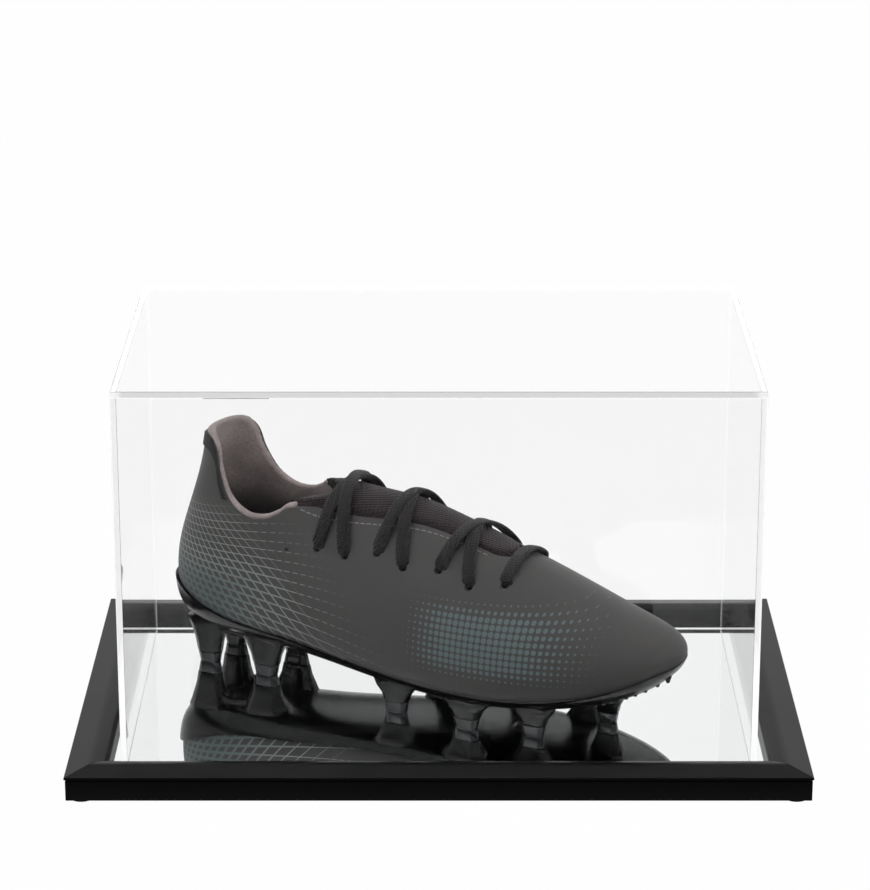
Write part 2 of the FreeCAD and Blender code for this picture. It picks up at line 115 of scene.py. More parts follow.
def add_node(tree: Tree, name: str, kind: str, inputs: dict[Any, Any] | None = None, **settings: Any) -> None:
    """Adds a named node with its settings, values and links.

    Args:
        tree: The node tree to add to.
        name: The node's name, for later links.
        kind: The node's type name, after its prefix.
        inputs: A value for each input, by the input's name or number, or the name of the node to link it to. An
            output other than the linked node's first one in use is named after a dot.
        **settings: Properties to set on the node.
    """
    node = tree.nodes.new("ShaderNode" + kind)
    node.name = name
    for key, value in settings.items():
        setattr(node, key, value)
    for key, value in (inputs or {}).items():
        entry = node.inputs[key] if isinstance(key, int) else next(
            socket for socket in node.inputs if socket.enabled and socket.name == key
        )
        if isinstance(value, str):
            source, _, output = value.partition(".")
            outputs = tree.nodes[source].outputs
            tree.links.new(outputs[output] if output else next(o for o in outputs if o.enabled), entry)
        else:
            entry.default_value = value


def deselect() -> None:
    """Leaves edit mode and selects nothing."""
    if bpy.context.object and bpy.context.object.mode != "OBJECT":
        bpy.ops.object.mode_set(mode="OBJECT")
    bpy.ops.object.select_all(action="DESELECT")


def activate(obj: Piece) -> None:
    """Makes one object the only selected and the active one.

    Args:
        obj: The object.
    """
    deselect()
    obj.select_set(True)
    bpy.context.view_layer.objects.active = obj


def apply_modifier(obj: Piece, kind: str, **settings: Any) -> None:
    """Adds a modifier with its settings and applies it.

    Args:
        obj: The piece.
        kind: The modifier's type name.
        **settings: Properties of the modifier.
    """
    activate(obj)
    modifier = obj.modifiers.new(kind.title(), kind)
    for name, value in settings.items():
        setattr(modifier, name, value)
    bpy.ops.object.modifier_apply(modifier=modifier.name)


def subdivide(obj: Piece, levels: int) -> None:
    """Rounds a cage with a subdivision surface, applied."""
    apply_modifier(obj, "SUBSURF", levels=levels, render_levels=levels)


def trim(obj: Piece, shape: Piece, cut: Cut) -> None:
    """Cuts a piece with a closed shape and removes the shape.

    Args:
        obj: The piece to cut.
        shape: The closed cutting shape.
        cut: Whether the shape's inside is taken away or kept.
    """
    apply_modifier(obj, "BOOLEAN", operation=cut.value, solver="EXACT", object=shape)
    bpy.data.objects.remove(shape, do_unlink=True)


def smooth(obj: Piece, degrees: float = 40.0) -> None:
    """Shades a piece smooth, apart from edges sharper than an angle."""
    activate(obj)
    bpy.ops.object.shade_smooth_by_angle(angle=math.radians(degrees))


def soften(obj: Piece, grain: float, passes: int) -> None:
    """Rounds off a cut piece of padding: an even remesh, then smoothing.

    Args:
        obj: The piece.
        grain: The remesh's cell, in metres.
        passes: How often it is smoothed.
    """
    apply_modifier(obj, "REMESH", mode="VOXEL", voxel_size=grain)
    apply_modifier(obj, "SMOOTH", factor=0.5, iterations=passes)
    smooth(obj, 180)


def join(name: str, parts: Sequence[Piece]) -> Piece:
    """Joins several meshes into one named piece.

    Args:
        name: The piece's name.
        parts: The meshes.

    Returns:
        The joined piece.
    """
    deselect()
    for part in parts:
        part.select_set(True)
    bpy.context.view_layer.objects.active = parts[0]
    if len(parts) > 1:
        bpy.ops.object.join()
    parts[0].name = name
    return parts[0]


def loft(name: str, rings: Sequence[Points], cap_start: bool = False, cap_end: bool = False) -> Piece:
    """Extrudes a circle through a row of rings, point for point.

    Args:
        name: The mesh's name.
        rings: Closed rings with the same number of points.
        cap_start: Whether the first ring is closed with a face.
        cap_end: Whether the last ring is closed with a face.

    Returns:
        The new mesh object, with its faces pointing outwards.
    """
    count = len(rings[0])
    deselect()
    bpy.ops.mesh.primitive_circle_add(vertices=count, radius=1.0)
    obj = bpy.context.object
    obj.name = name
    mesh = obj.data
    mesh.attributes.new("ring_index", "INT", "POINT").data.foreach_set("value", range(count))
    mesh.attributes.new("ring_row", "INT", "POINT")
    bpy.ops.object.mode_set(mode="EDIT")
    bpy.ops.mesh.select_all(action="SELECT")
    for row, ring in enumerate(rings):
        if row:
            bpy.ops.mesh.extrude_edges_move()
        form = bmesh.from_edit_mesh(mesh)
        index, rows = form.verts.layers.int["ring_index"], form.verts.layers.int["ring_row"]
        for vert in form.verts:
            if vert.select:
                vert.co = ring[vert[index]]
                vert[rows] = row
        bmesh.update_edit_mesh(mesh)
    if cap_end:
        bpy.ops.mesh.edge_face_add()
    if cap_start:
        bpy.ops.mesh.select_all(action="DESELECT")
        form = bmesh.from_edit_mesh(mesh)
        rows = form.verts.layers.int["ring_row"]
        for vert in form.verts:
            vert.select_set(vert[rows] == 0)
        form.select_flush(True)
        bmesh.update_edit_mesh(mesh)
        bpy.ops.mesh.edge_face_add()
    bpy.ops.mesh.select_all(action="SELECT")
    bpy.ops.mesh.normals_make_consistent(inside=False)
    bpy.ops.object.mode_set(mode="OBJECT")
    for spare in ("ring_row", "ring_index"):
        mesh.attributes.remove(mesh.attributes[spare])
    return obj


def tube(name: str, line: Points, radius: float, sides: int = 6) -> Piece:
    """A thin round rod along a line.

    Args:
        name: The rod's name.
        line: Its middle line.
        radius: Its radius.
        sides: How many flats it has round it.

    Returns:
        The rod.
    """
    rings = []
    for i, centre in enumerate(line):
        along = (line[min(i + 1, len(line) - 1)] - line[max(i - 1, 0)]).normalized()
        across = along.cross(UP).normalized()
        up = across.cross(along)
        turns = [FULL_TURN * k / sides for k in range(sides)]
        rings.append([centre + (across * math.cos(a) + up * math.sin(a)) * radius for a in turns])
    return loft(name, rings, cap_start=True, cap_end=True)


def smooth_line(points: Pairs, steps: int = 8) -> list[tuple[float, float]]:
    """Draws a smooth line through a few points.

    Args:
        points: The points to pass through.
        steps: How many short runs each stretch gets.

    Returns:
        The points of the smooth line.
    """
    line = []
    for i in range(len(points) - 1):
        p0, p1 = points[max(i - 1, 0)], points[i]
        p2, p3 = points[i + 1], points[min(i + 2, len(points) - 1)]
        for step in range(steps):
            f = step / steps
            line.append(tuple(
                0.5 * (2 * b + (c - a) * f + (2 * a - 5 * b + 4 * c - d) * f**2
                       + (3 * b - a - 3 * c + d) * f**3)
                for a, b, c, d in zip(p0, p1, p2, p3)
            ))
    return line + [tuple(points[-1])]


def rounded(corners: Pairs, radii: dict[int, float], steps: int = 8) -> list[tuple[float, float]]:
    """Rounds chosen corners of a closed outline.

    Args:
        corners: The outline's corners in order.
        radii: The radius at each rounded corner, by its number.
        steps: How many short runs each arc gets.

    Returns:
        The outline with its arcs.
    """
    outline = []
    for i, corner in enumerate(corners):
        here = Vector(corner)
        if i not in radii:
            outline.append(tuple(here))
            continue
        to_last = (Vector(corners[i - 1]) - here).normalized()
        to_next = (Vector(corners[(i + 1) % len(corners)]) - here).normalized()
        half = to_last.angle(to_next) / 2
        reach, depth = radii[i] / math.tan(half), radii[i] / math.sin(half)
        centre = here + (to_last + to_next).normalized() * depth
        start, end = here + to_last * reach - centre, here + to_next * reach - centre
        sweep = start.angle_signed(end)
        for step in range(steps + 1):
            turn = -sweep * step / steps
            arm = Vector((
                start.x * math.cos(turn) - start.y * math.sin(turn),
                start.x * math.sin(turn) + start.y * math.cos(turn),
            ))
            outline.append(tuple(centre + arm))
    return outline


def dress(obj: Piece, material: bpy.types.Material) -> None:
    """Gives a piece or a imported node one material."""
    obj.data.materials.clear()
    obj.data.materials.append(material)


def hand_over(
    obj: Piece, body: Body, material: bpy.types.Material, nodes: Iterable[str] = ()
) -> None:
    """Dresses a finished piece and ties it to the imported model.

    Args:
        obj: The finished piece.
        body: The body it rides on.
        material: Its finish.
        nodes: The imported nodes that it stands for.
    """
    dress(obj, material)
    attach(obj, body.value)
    if nodes:
        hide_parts(*nodes)
    log.info("%s: %d faces on %s", obj.name, len(obj.data.polygons), body.value)


# Finishes


class Finish:
    """A surface finish: its own nodes, from "place", the piece's coordinates in metres, to "shader"."""

    name: str

    def add_nodes(self, tree: Tree) -> None:
        """Adds the finish's own nodes to a tree that has "place", the last of them named "shader"."""
        raise NotImplementedError

    def material(self) -> bpy.types.Material:
        """Builds the material.

        Returns:
            The material, ready for a piece.
        """
        material = bpy.data.materials.new(self.name)
        material.use_nodes = True
        tree = material.node_tree
        tree.nodes.clear()
        add_node(tree, "place", "TexCoord")
        self.add_nodes(tree)
        add_node(tree, "output", "OutputMaterial", {"Surface": "shader"})
        return material


@dataclass(frozen=True)
class SatinPaint(Finish):
    """Satin lacquer sprayed on wood moulding: near black, with a soft sheen and a faint orange peel."""

    name: str = "satin_black_lacquer"
    dark: str = "#060606"
    light: str = "#0a0a0a"
    roughness: tuple[float, float] = (0.26, 0.36)
    # A lacquer has about 1.5: less keeps the rails as black as the real ones.
    ior: float = 1.2
    peel_mm: float = 1.6
    peel_depth_mm: float = 0.003
    cloud_mm: float = 40.0

    def add_nodes(self, tree: Tree) -> None:
        """Adds the lacquer's nodes.

        Args:
            tree: The material's tree.
        """
        for name, size, detail in (("peel", self.peel_mm, 2.0), ("cloud", self.cloud_mm, 3.0)):
            add_node(tree, name, "TexNoise", {
                "Vector": "place.Object", "Scale": 1 / (size * MM), "Detail": detail,
            })
        add_node(tree, "tone", "Mix", {
            "Factor": "cloud", "A": srgb(self.dark), "B": srgb(self.light),
        }, data_type="RGBA")
        low, high = self.roughness
        add_node(tree, "rough", "MapRange", {"Value": "cloud", "To Min": low, "To Max": high})
        add_node(tree, "bump", "Bump", {"Height": "peel", "Distance": self.peel_depth_mm * MM, "Strength": 1.0})
        add_node(tree, "shader", "BsdfPrincipled", {
            "Base Color": "tone", "Roughness": "rough", "Normal": "bump", "IOR": self.ior,
        })


@dataclass(frozen=True)
class SilverMirror(Finish):
    """Silvered mirror sheet: a bright, sharp reflection, a touch grey, with the faintest haze."""

    name: str = "silvered_mirror"
    colour: str = "#f4f6f6"
    haze: tuple[float, float] = (0.004, 0.016)
    cloud_mm: float = 30.0

    def add_nodes(self, tree: Tree) -> None:
        """Adds the mirror's nodes.

        Args:
            tree: The material's tree.
        """
        scale = 1 / (self.cloud_mm * MM)
        add_node(tree, "cloud", "TexNoise", {"Vector": "place.Object", "Scale": scale, "Detail": 4.0})
        add_node(tree, "haze", "MapRange", {"Value": "cloud", "To Min": self.haze[0], "To Max": self.haze[1]})
        add_node(tree, "shader", "BsdfPrincipled", {
            "Base Color": srgb(self.colour), "Metallic": 1.0, "Roughness": "haze",
        })


@dataclass(frozen=True)
class ClearAcrylic(Finish):
    """Cast acrylic sheet, polished: clear, with bright edges; lamps shine straight through it."""

    name: str = "clear_cast_acrylic"
    tint: str = WHITE
    # Acrylic has 1.49: less gives the faint reflections of the real cover.
    ior: float = 1.35
    haze: float = 0.006
    smear_mm: float = 60.0

    def add_nodes(self, tree: Tree) -> None:
        """Adds the acrylic's nodes.

        Args:
            tree: The material's tree.
        """
        scale = 1 / (self.smear_mm * MM)
        add_node(tree, "smear", "TexNoise", {"Vector": "place.Object", "Scale": scale, "Detail": 3.0})
        add_node(tree, "rough", "MapRange", {"Value": "smear", "To Min": 0.0, "To Max": self.haze})
        add_node(tree, "clear", "BsdfPrincipled", {
            "Base Color": srgb(self.tint), "Roughness": "rough", "IOR": self.ior, "Transmission Weight": 1.0,
        })
        add_node(tree, "through", "BsdfTransparent", {"Color": srgb(self.tint)})
        add_node(tree, "path", "LightPath")
        add_node(tree, "shader", "MixShader", {0: "path.Is Shadow Ray", 1: "clear", 2: "through"})


@dataclass(frozen=True)
class SawnEdge(Finish):
    """The narrow faces of the acrylic sheets: sawn and wiped, so pale, with a painted glow for the light that
    the sheets pipe from the room.
    """

    name: str = "satin_acrylic_edge"
    colour: str = "#f0f0f0"
    clear: str = "#f4f5f5"
    roughness: tuple[float, float] = (0.35, 0.6)
    ior: float = 1.49
    saw_mm: float = 0.9
    # The strength of the painted glow: the edges emit light though they are no lamp.
    glow: float = 0.60
    body: float = 0.7

    def add_nodes(self, tree: Tree) -> None:
        """Adds the edge's nodes.

        Args:
            tree: The material's tree.
        """
        low, high = self.roughness
        scale = 1 / (self.saw_mm * MM)
        add_node(tree, "saw", "TexNoise", {"Vector": "place.Object", "Scale": scale, "Detail": 3.0})
        add_node(tree, "rough", "MapRange", {"Value": "saw", "To Min": low, "To Max": high})
        # Painted light: the emission makes the pale edges glow as if lit from within the sheets.
        add_node(tree, "pale", "BsdfPrincipled", {
            "Base Color": srgb(self.colour), "Roughness": "rough", "IOR": self.ior,
            "Emission Color": srgb(self.colour), "Emission Strength": self.glow,
        })
        add_node(tree, "through", "BsdfTransparent", {"Color": srgb(self.clear)})
        add_node(tree, "shader", "MixShader", {0: self.body, 1: "through", 2: "pale"})


@dataclass(frozen=True)
class GlossMoulding(Finish):
    """Injection-moulded nylon, polished tool: deep black, glossy, with a few fine flow marks."""

    name: str = "gloss_black_nylon"
    colour: str = "#070708"
    roughness: tuple[float, float] = (0.16, 0.30)
    # Nylon has 1.53: less dims the white room in it.
    ior: float = 1.36
    flow_mm: float = 9.0
    flow_depth_mm: float = 0.05

    def add_nodes(self, tree: Tree) -> None:
        """Adds the moulding's nodes.

        Args:
            tree: The material's tree.
        """
        low, high = self.roughness
        add_node(tree, "flow", "TexNoise", {
            "Vector": "place.Object", "Scale": 1 / (self.flow_mm * MM), "Detail": 4.0, "Distortion": 1.2,
        })
        add_node(tree, "rough", "MapRange", {"Value": "flow", "To Min": low, "To Max": high})
        add_node(tree, "bump", "Bump", {"Height": "flow", "Distance": self.flow_depth_mm * MM, "Strength": 0.5})
        add_node(tree, "shader", "BsdfPrincipled", {
            "Base Color": srgb(self.colour), "Roughness": "rough", "Normal": "bump", "IOR": self.ior,
        })


@dataclass(frozen=True)
class SyntheticUpper(Finish):
    """Coated knit synthetic: matt charcoal with a fine grain, a printed heel lattice and a forefoot dot fade.

    The lattice is two fans of fine lines. They are bolder and greener low on the heel, and the flatter fan
    breaks into dashes as it fades. The dots shrink towards the edges of their patch. All of it is laid out in
    the boot's own frame.
    """

    origin: Vector
    turn: float
    name: str = "coated_charcoal_synthetic"
    ground: str = "#3a3837"
    shade: str = "#323131"
    thread: str = "#8d9390"
    wash: str = "#4c5a5b"
    roughness: float = 0.62
    grain_mm: float = 0.8
    cloud_mm: float = 28.0
    relief_mm: float = 0.05
    line_mm: float = 0.15
    swell_mm: float = 0.60
    soft_mm: float = 0.12
    dash_mm: tuple[float, float] = (2.4, 0.9)
    dot_mm: float = 3.2
    dot_fill: float = 0.44
    lean: float = 0.95
    # Each fan's name, the point off the print where its lines would meet, and the angle from line to line.
    fans: tuple[tuple[str, tuple[float, float, float], float], ...] = (
        ("steep", (-0.017, 0.0, 0.140), 0.036), ("level", (-0.120, 0.0, 0.070), 0.024),
    )
    # Smooth steps: a name, what is measured, and where it is 0 and where it is 1, in millimetres.
    fades: tuple[tuple[str, str, float, float], ...] = (
        ("wash_x", "axes.X", 104, 30), ("wash_z", "axes.Z", 78, 48), ("lattice_top", "axes.Z", 97, 84),
        ("steep_fade", "lean", 146, 118), ("level_fade", "lean", 178, 128), ("unbroken", "lean", 146, 128),
        ("dots_rear", "axes.X", 142, 176), ("dots_toe", "axes.X", 262, 206),
        ("dots_low", "axes.Z", 26, 40), ("dots_top", "axes.Z", 72, 58),
    )

    def add_nodes(self, tree: Tree) -> None:
        """Adds the coated knit's nodes.

        Args:
            tree: The material's tree.
        """
        add_node(tree, "boot", "Mapping", {
            "Vector": "place.Object", "Location": self.origin, "Rotation": (0.0, 0.0, -self.turn),
        }, vector_type="TEXTURE")
        add_node(tree, "axes", "SeparateXYZ", {0: "boot"})
        add_node(tree, "lean", "VectorMath", {0: "boot", 1: (1.0, 0.0, self.lean)}, operation="DOT_PRODUCT")
        for name, size in (("grain", self.grain_mm), ("cloud", self.cloud_mm)):
            add_node(tree, name, "TexNoise", {"Vector": "boot", "Scale": 1 / (size * MM), "Detail": 3.0})
        # How far each point is from the nearest line of each fan, in side view.
        for fan, apex, pitch in self.fans:
            away, flat, split, radius, angle, nearest = (
                f"{fan}_{step}" for step in ("away", "flat", "split", "radius", "angle", "nearest")
            )
            add_node(tree, away, "VectorMath", {0: "boot", 1: apex}, operation="SUBTRACT")
            add_node(tree, flat, "VectorMath", {0: away, 1: (1.0, 0.0, 1.0)}, operation="MULTIPLY")
            add_node(tree, split, "SeparateXYZ", {0: flat})
            add_node(tree, radius, "VectorMath", {0: flat}, operation="LENGTH")
            add_node(tree, angle, "Math", {0: f"{split}.Z", 1: f"{split}.X"}, operation="ARCTAN2")
            add_node(tree, nearest, "Math", {0: angle, 1: pitch / 2}, operation="PINGPONG")
            add_node(tree, f"{fan}_gap", "Math", {0: nearest, 1: radius}, operation="MULTIPLY")
        dot = self.dot_mm * MM
        # Each sum has a name, an operation, and two numbers or earlier nodes.
        measures = (
            ("wash", "MULTIPLY", "wash_x", "wash_z"),
            ("swell", "MULTIPLY", "wash", self.swell_mm * MM),
            ("bold", "ADD", "swell", self.line_mm * MM),
            ("steep_over", "SUBTRACT", "bold", "steep_gap"),
            ("level_over", "SUBTRACT", "bold", "level_gap"),
            ("dash_run", "PINGPONG", "axes.X", self.dash_mm[0] * MM),
            ("dashes", "GREATER_THAN", "dash_run", self.dash_mm[1] * MM),
            ("broken", "MAXIMUM", "dashes", "unbroken"),
            ("level_shown", "MULTIPLY", "level_fade", "broken"),
            ("dot_row", "PINGPONG", "axes.Z", dot / 2),
            ("dot_step", "PINGPONG", "axes.X", dot / 2),
            ("row_square", "MULTIPLY", "dot_row", "dot_row"),
            ("step_square", "MULTIPLY", "dot_step", "dot_step"),
            ("both_squares", "ADD", "row_square", "step_square"),
            ("dot_far", "POWER", "both_squares", 0.5),
            ("dots_along", "MULTIPLY", "dots_rear", "dots_toe"),
            ("dots_up", "MULTIPLY", "dots_low", "dots_top"),
            ("dot_share", "MULTIPLY", "dots_along", "dots_up"),
            ("dot_radius", "MULTIPLY", "dot_share", dot * self.dot_fill),
            ("dot_over", "SUBTRACT", "dot_radius", "dot_far"),
        )
        masks = [(name, f"{name}_over", -self.soft_mm, self.soft_mm) for name in ("steep", "level", "dot")]
        prints = (
            ("steep_lines", "MULTIPLY", "steep", "steep_fade"),
            ("level_lines", "MULTIPLY", "level", "level_shown"),
            ("lines", "MAXIMUM", "steep_lines", "level_lines"),
            ("lattice", "MULTIPLY", "lines", "lattice_top"),
            ("inked", "MULTIPLY", "lattice", 0.8),
            ("grained", "MULTIPLY", "grain", 0.5),
            ("raised", "MULTIPLY", "lattice", 0.6),
            ("height", "ADD", "grained", "raised"),
        )
        for fades, sums in ((self.fades, measures), (masks, prints)):
            for name, source, low, high in fades:
                add_node(tree, name, "MapRange", {
                    "Value": source, "From Min": low * MM, "From Max": high * MM,
                }, interpolation_type="SMOOTHSTEP")
            for name, operation, first, second in sums:
                add_node(tree, name, "Math", {0: first, 1: second}, operation=operation)
        for name, share, under, over in (
            ("base", "cloud", srgb(self.shade), srgb(self.ground)),
            ("ink", "wash", srgb(self.thread), srgb(self.wash)),
            ("dotted", "dot", "base", srgb(self.wash)),
            ("lined", "inked", "dotted", "ink"),
        ):
            add_node(tree, name, "Mix", {"Factor": share, "A": under, "B": over}, data_type="RGBA")
        add_node(tree, "bump", "Bump", {"Height": "height", "Distance": self.relief_mm * MM, "Strength": 0.6})
        add_node(tree, "shader", "BsdfPrincipled", {
            "Base Color": "lined", "Roughness": self.roughness, "Normal": "bump",
            "IOR": 1.45, "Sheen Weight": 0.12, "Sheen Roughness": 0.5,
        })


@dataclass(frozen=True)
class SuedeCloth(Finish):
    """Brushed microfibre lining: mauve grey with a pale nap, with painted shade darkening it deep in the boot.
    """

    name: str = "mauve_microfibre_suede"
    light: str = "#988d8b"
    dark: str = "#776d6c"
    # The colour of the painted shade deep in the boot, and the heights in millimetres over which it fades back
    # to the lining's own tone.
    deep: str = "#2b2525"
    painted_shade_mm: tuple[float, float] = (80.0, 104.0)
    nap_mm: float = 1.1
    nap_depth_mm: float = 0.2
    brushed_mm: float = 14.0

    def add_nodes(self, tree: Tree) -> None:
        """Adds the suede's nodes.

        Args:
            tree: The material's tree.
        """
        for name, size, detail in (("nap", self.nap_mm, 4.0), ("brushed", self.brushed_mm, 2.0)):
            add_node(tree, name, "TexNoise", {
                "Vector": "place.Object", "Scale": 1 / (size * MM), "Detail": detail,
            })
        add_node(tree, "mixed", "Math", {0: "nap", 1: "brushed"}, operation="MULTIPLY")
        add_node(tree, "spread", "MapRange", {"Value": "mixed", "From Min": 0.12, "From Max": 0.42})
        add_node(tree, "axes", "SeparateXYZ", {0: "place.Object"})
        # Painted shade: the lining is darkened towards the bottom of the boot, where it lies in shadow.
        low, high = (level * MM for level in self.painted_shade_mm)
        add_node(tree, "painted_shade_fade", "MapRange", {
            "Value": "axes.Z", "From Min": low, "From Max": high,
        }, interpolation_type="SMOOTHSTEP")
        for name, share, under, over in (
            ("tone", "spread", srgb(self.dark), srgb(self.light)), ("depth", "painted_shade_fade", srgb(self.deep), "tone"),
        ):
            add_node(tree, name, "Mix", {"Factor": share, "A": under, "B": over}, data_type="RGBA")
        add_node(tree, "bump", "Bump", {"Height": "nap", "Distance": self.nap_depth_mm * MM, "Strength": 0.6})
        add_node(tree, "shader", "BsdfPrincipled", {
            "Base Color": "depth", "Roughness": 0.92, "Normal": "bump",
            "Sheen Weight": 0.25, "Sheen Roughness": 0.45,
        })


@dataclass(frozen=True)
class Woven(Finish):
    """Woven or knitted polyester: two crossing thread families that catch the light in rows."""

    name: str
    light: str
    dark: str
    thread_mm: float
    depth_mm: float
    roughness: float = 0.85
    fuzz_mm: float = 0.6
    threads: tuple[tuple[str, tuple[float, float, float]], ...] = (
        ("across", (0.7, 0.7, 0.1)), ("along", (-0.5, 0.6, 0.62)),
    )

    def add_nodes(self, tree: Tree) -> None:
        """Adds the weave's nodes.

        Args:
            tree: The material's tree.
        """
        waves = FULL_TURN / (self.thread_mm * MM)
        for name, axis in self.threads:
            run, turn = f"{name}_run", f"{name}_turn"
            direction = Vector(axis).normalized()
            add_node(tree, run, "VectorMath", {0: "place.Object", 1: direction}, operation="DOT_PRODUCT")
            add_node(tree, turn, "Math", {0: run, 1: waves}, operation="MULTIPLY")
            add_node(tree, name, "Math", {0: turn}, operation="SINE")
        add_node(tree, "cloth", "Math", {0: "across", 1: "along"}, operation="MULTIPLY")
        scale = 1 / (self.fuzz_mm * MM)
        add_node(tree, "fuzz", "TexNoise", {"Vector": "place.Object", "Scale": scale, "Detail": 3.0})
        add_node(tree, "height", "Math", {0: "cloth", 1: "fuzz"}, operation="ADD")
        add_node(tree, "spread", "MapRange", {"Value": "height", "From Min": -0.5, "From Max": 1.5})
        add_node(tree, "tone", "Mix", {
            "Factor": "spread", "A": srgb(self.dark), "B": srgb(self.light),
        }, data_type="RGBA")
        add_node(tree, "bump", "Bump", {"Height": "spread", "Distance": self.depth_mm * MM, "Strength": 0.9})
        add_node(tree, "shader", "BsdfPrincipled", {
            "Base Color": "tone", "Roughness": self.roughness, "Normal": "bump",
            "Sheen Weight": 0.15, "Sheen Roughness": 0.4,
        })


@dataclass(frozen=True)
class Grainy(Finish):
    """A plain material with its own speckle: hardboard, felt, thread, fibre board or steel strip."""

    name: str
    light: str
    dark: str
    grain_mm: float
    roughness: float = 0.8
    metallic: float = 0.0
    grain_depth: float = 0.1

    def add_nodes(self, tree: Tree) -> None:
        """Adds the speckle's nodes.

        Args:
            tree: The material's tree.
        """
        grain = self.grain_mm * MM
        add_node(tree, "speck", "TexNoise", {"Vector": "place.Object", "Scale": 1 / grain, "Detail": 5.0})
        add_node(tree, "tone", "Mix", {
            "Factor": "speck", "A": srgb(self.dark), "B": srgb(self.light),
        }, data_type="RGBA")
        depth = grain * self.grain_depth
        add_node(tree, "bump", "Bump", {"Height": "speck", "Distance": depth, "Strength": 0.6})
        add_node(tree, "shader", "BsdfPrincipled", {
            "Base Color": "tone", "Roughness": self.roughness, "Metallic": self.metallic, "Normal": "bump",
        })


@dataclass(frozen=True)
class WhiteTable(Finish):
    """Matt white table top: plain white to the eye, with a soft shadow of the object.

    In front of the case it is dark to reflected rays alone, as a black card out of view would make it.
    """

    name: str = "white_table"
    colour: str = "#f2f2f2"
    white: float = 0.985
    card: float = 0.03
    card_y: tuple[float, float] = (-0.10, -0.16)

    def add_nodes(self, tree: Tree) -> None:
        """Adds the table's nodes.

        Args:
            tree: The material's tree.
        """
        add_node(tree, "path", "LightPath")
        add_node(tree, "matt", "BsdfDiffuse", {"Color": srgb(self.colour)})
        add_node(tree, "axes", "SeparateXYZ", {0: "place.Object"})
        start, full = self.card_y
        add_node(tree, "front", "MapRange", {"Value": "axes.Y", "From Min": start, "From Max": full})
        for name, operation, first, second in (
            ("mirrored", "MINIMUM", "path.Glossy Depth", 1.0),
            ("straight", "MAXIMUM", "path.Is Camera Ray", "path.Is Transmission Ray"),
            ("seen", "MAXIMUM", "straight", "mirrored"),
            ("share", "MULTIPLY", "seen", self.white),
            ("shaded", "MULTIPLY", "mirrored", "front"),
        ):
            add_node(tree, name, "Math", {0: first, 1: second}, operation=operation)
        for name, strength in (("glow", 1.0), ("card", self.card)):
            add_node(tree, name, "Emission", {"Color": srgb(WHITE), "Strength": strength})
        add_node(tree, "top", "MixShader", {0: "share", 1: "matt", 2: "glow"})
        add_node(tree, "shader", "MixShader", {0: "shaded", 1: "top", 2: "card"})


# Base and cover


@dataclass
class MouldedBase:
    """The black frame, its mirror floor and what is under it."""

    width: float = 0.360
    depth: float = 0.242
    lift: float = 0.0012
    edge_softness: float = 0.00022
    foot_radius: float = 0.006
    foot_softness: float = 0.0003
    # The moulding's section in millimetres, inwards from its outer face and up, and the radii at its corners.
    profile: tuple[tuple[float, float], ...] = (
        (0.6, 0.0), (0.6, 10.2), (1.5, 10.2), (1.5, 10.9), (0.0, 10.9), (0.0, 12.1),
        (12.5, 14.8), (18.2, 13.2), (20.0, 11.4), (20.0, 6.3), (15.0, 6.3), (15.0, 0.0),
    )
    rounds: dict[int, float] = field(default_factory=lambda: {5: 0.5, 6: 9.0, 7: 2.2, 8: 2.2})

    def rail(self, name: str, length: float, turn: float, reach: float) -> Piece:
        """One mitred length of moulding.

        Args:
            name: The rail's name.
            length: Its length along the outer edge.
            turn: Its quarter turn in plan, in radians.
            reach: From the middle of the base to its outer face.

        Returns:
            The rail.
        """
        cos, sin = math.cos(turn), math.sin(turn)
        outline = [(inward * MM, up * MM + self.lift) for inward, up in rounded(self.profile, self.rounds)]
        rings = []
        for end in (-1, 1):
            ring = []
            for inward, up in outline:
                x, y = end * (length / 2 - inward), inward - reach
                ring.append(Vector((x * cos - y * sin, x * sin + y * cos, up)))
            rings.append(ring)
        rail = loft(name, rings, cap_start=True, cap_end=True)
        apply_modifier(
            rail, "BEVEL", width=self.edge_softness, segments=2, limit_method="ANGLE",
            angle_limit=math.radians(42), use_clamp_overlap=True,
        )
        smooth(rail, 35)
        apply_modifier(rail, "WEIGHTED_NORMAL", keep_sharp=True)
        return rail

    def build(self, nodes: dict[str, Piece]) -> None:
        """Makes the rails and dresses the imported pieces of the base.

        Args:
            nodes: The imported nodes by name.
        """
        lacquer = SatinPaint().material()
        sides = (
            ("front", self.width, 0.0, self.depth / 2),
            ("right", self.depth, math.pi / 2, self.width / 2),
            ("back", self.width, math.pi, self.depth / 2),
            ("left", self.depth, -math.pi / 2, self.width / 2),
        )
        for side, length, turn, reach in sides:
            rail = self.rail(f"{side}_moulding", length, turn, reach)
            hand_over(rail, Body.BASE, lacquer, [f"{side}_rail"])
        dress(nodes["mirror_plate"], SilverMirror().material())
        dress(nodes["backing_board"], Grainy("bare_hardboard", "#7a6248", "#5d4a35", 1.4).material())
        self.feet()
        steel = Grainy("plain_steel_strip", "#9a9a9c", "#7c7c80", 0.5, 0.35, 1.0).material()
        dress(nodes["corner_v_nails"], steel)
        dress(nodes["retaining_points"], steel)

    def feet(self) -> None:
        """A soft felt disc under each corner."""
        low, high = (Vector(corner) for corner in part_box("felt_feet"))
        radius = self.foot_radius
        discs = []
        for x in (low.x + radius, high.x - radius):
            for y in (low.y + radius, high.y - radius):
                deselect()
                bpy.ops.mesh.primitive_cylinder_add(
                    vertices=40, radius=radius, depth=high.z - low.z, location=(x, y, (low.z + high.z) / 2)
                )
                bpy.ops.object.transform_apply(location=True, rotation=True, scale=True)
                disc = bpy.context.object
                apply_modifier(disc, "BEVEL", width=self.foot_softness, segments=3, limit_method="ANGLE")
                discs.append(disc)
        pads = join("felt_discs", discs)
        smooth(pads, 40)
        felt = Grainy("black_felt", "#1c1c1d", "#0e0e0f", 0.7, 0.95)
        hand_over(pads, Body.BASE, felt.material(), ["felt_feet"])


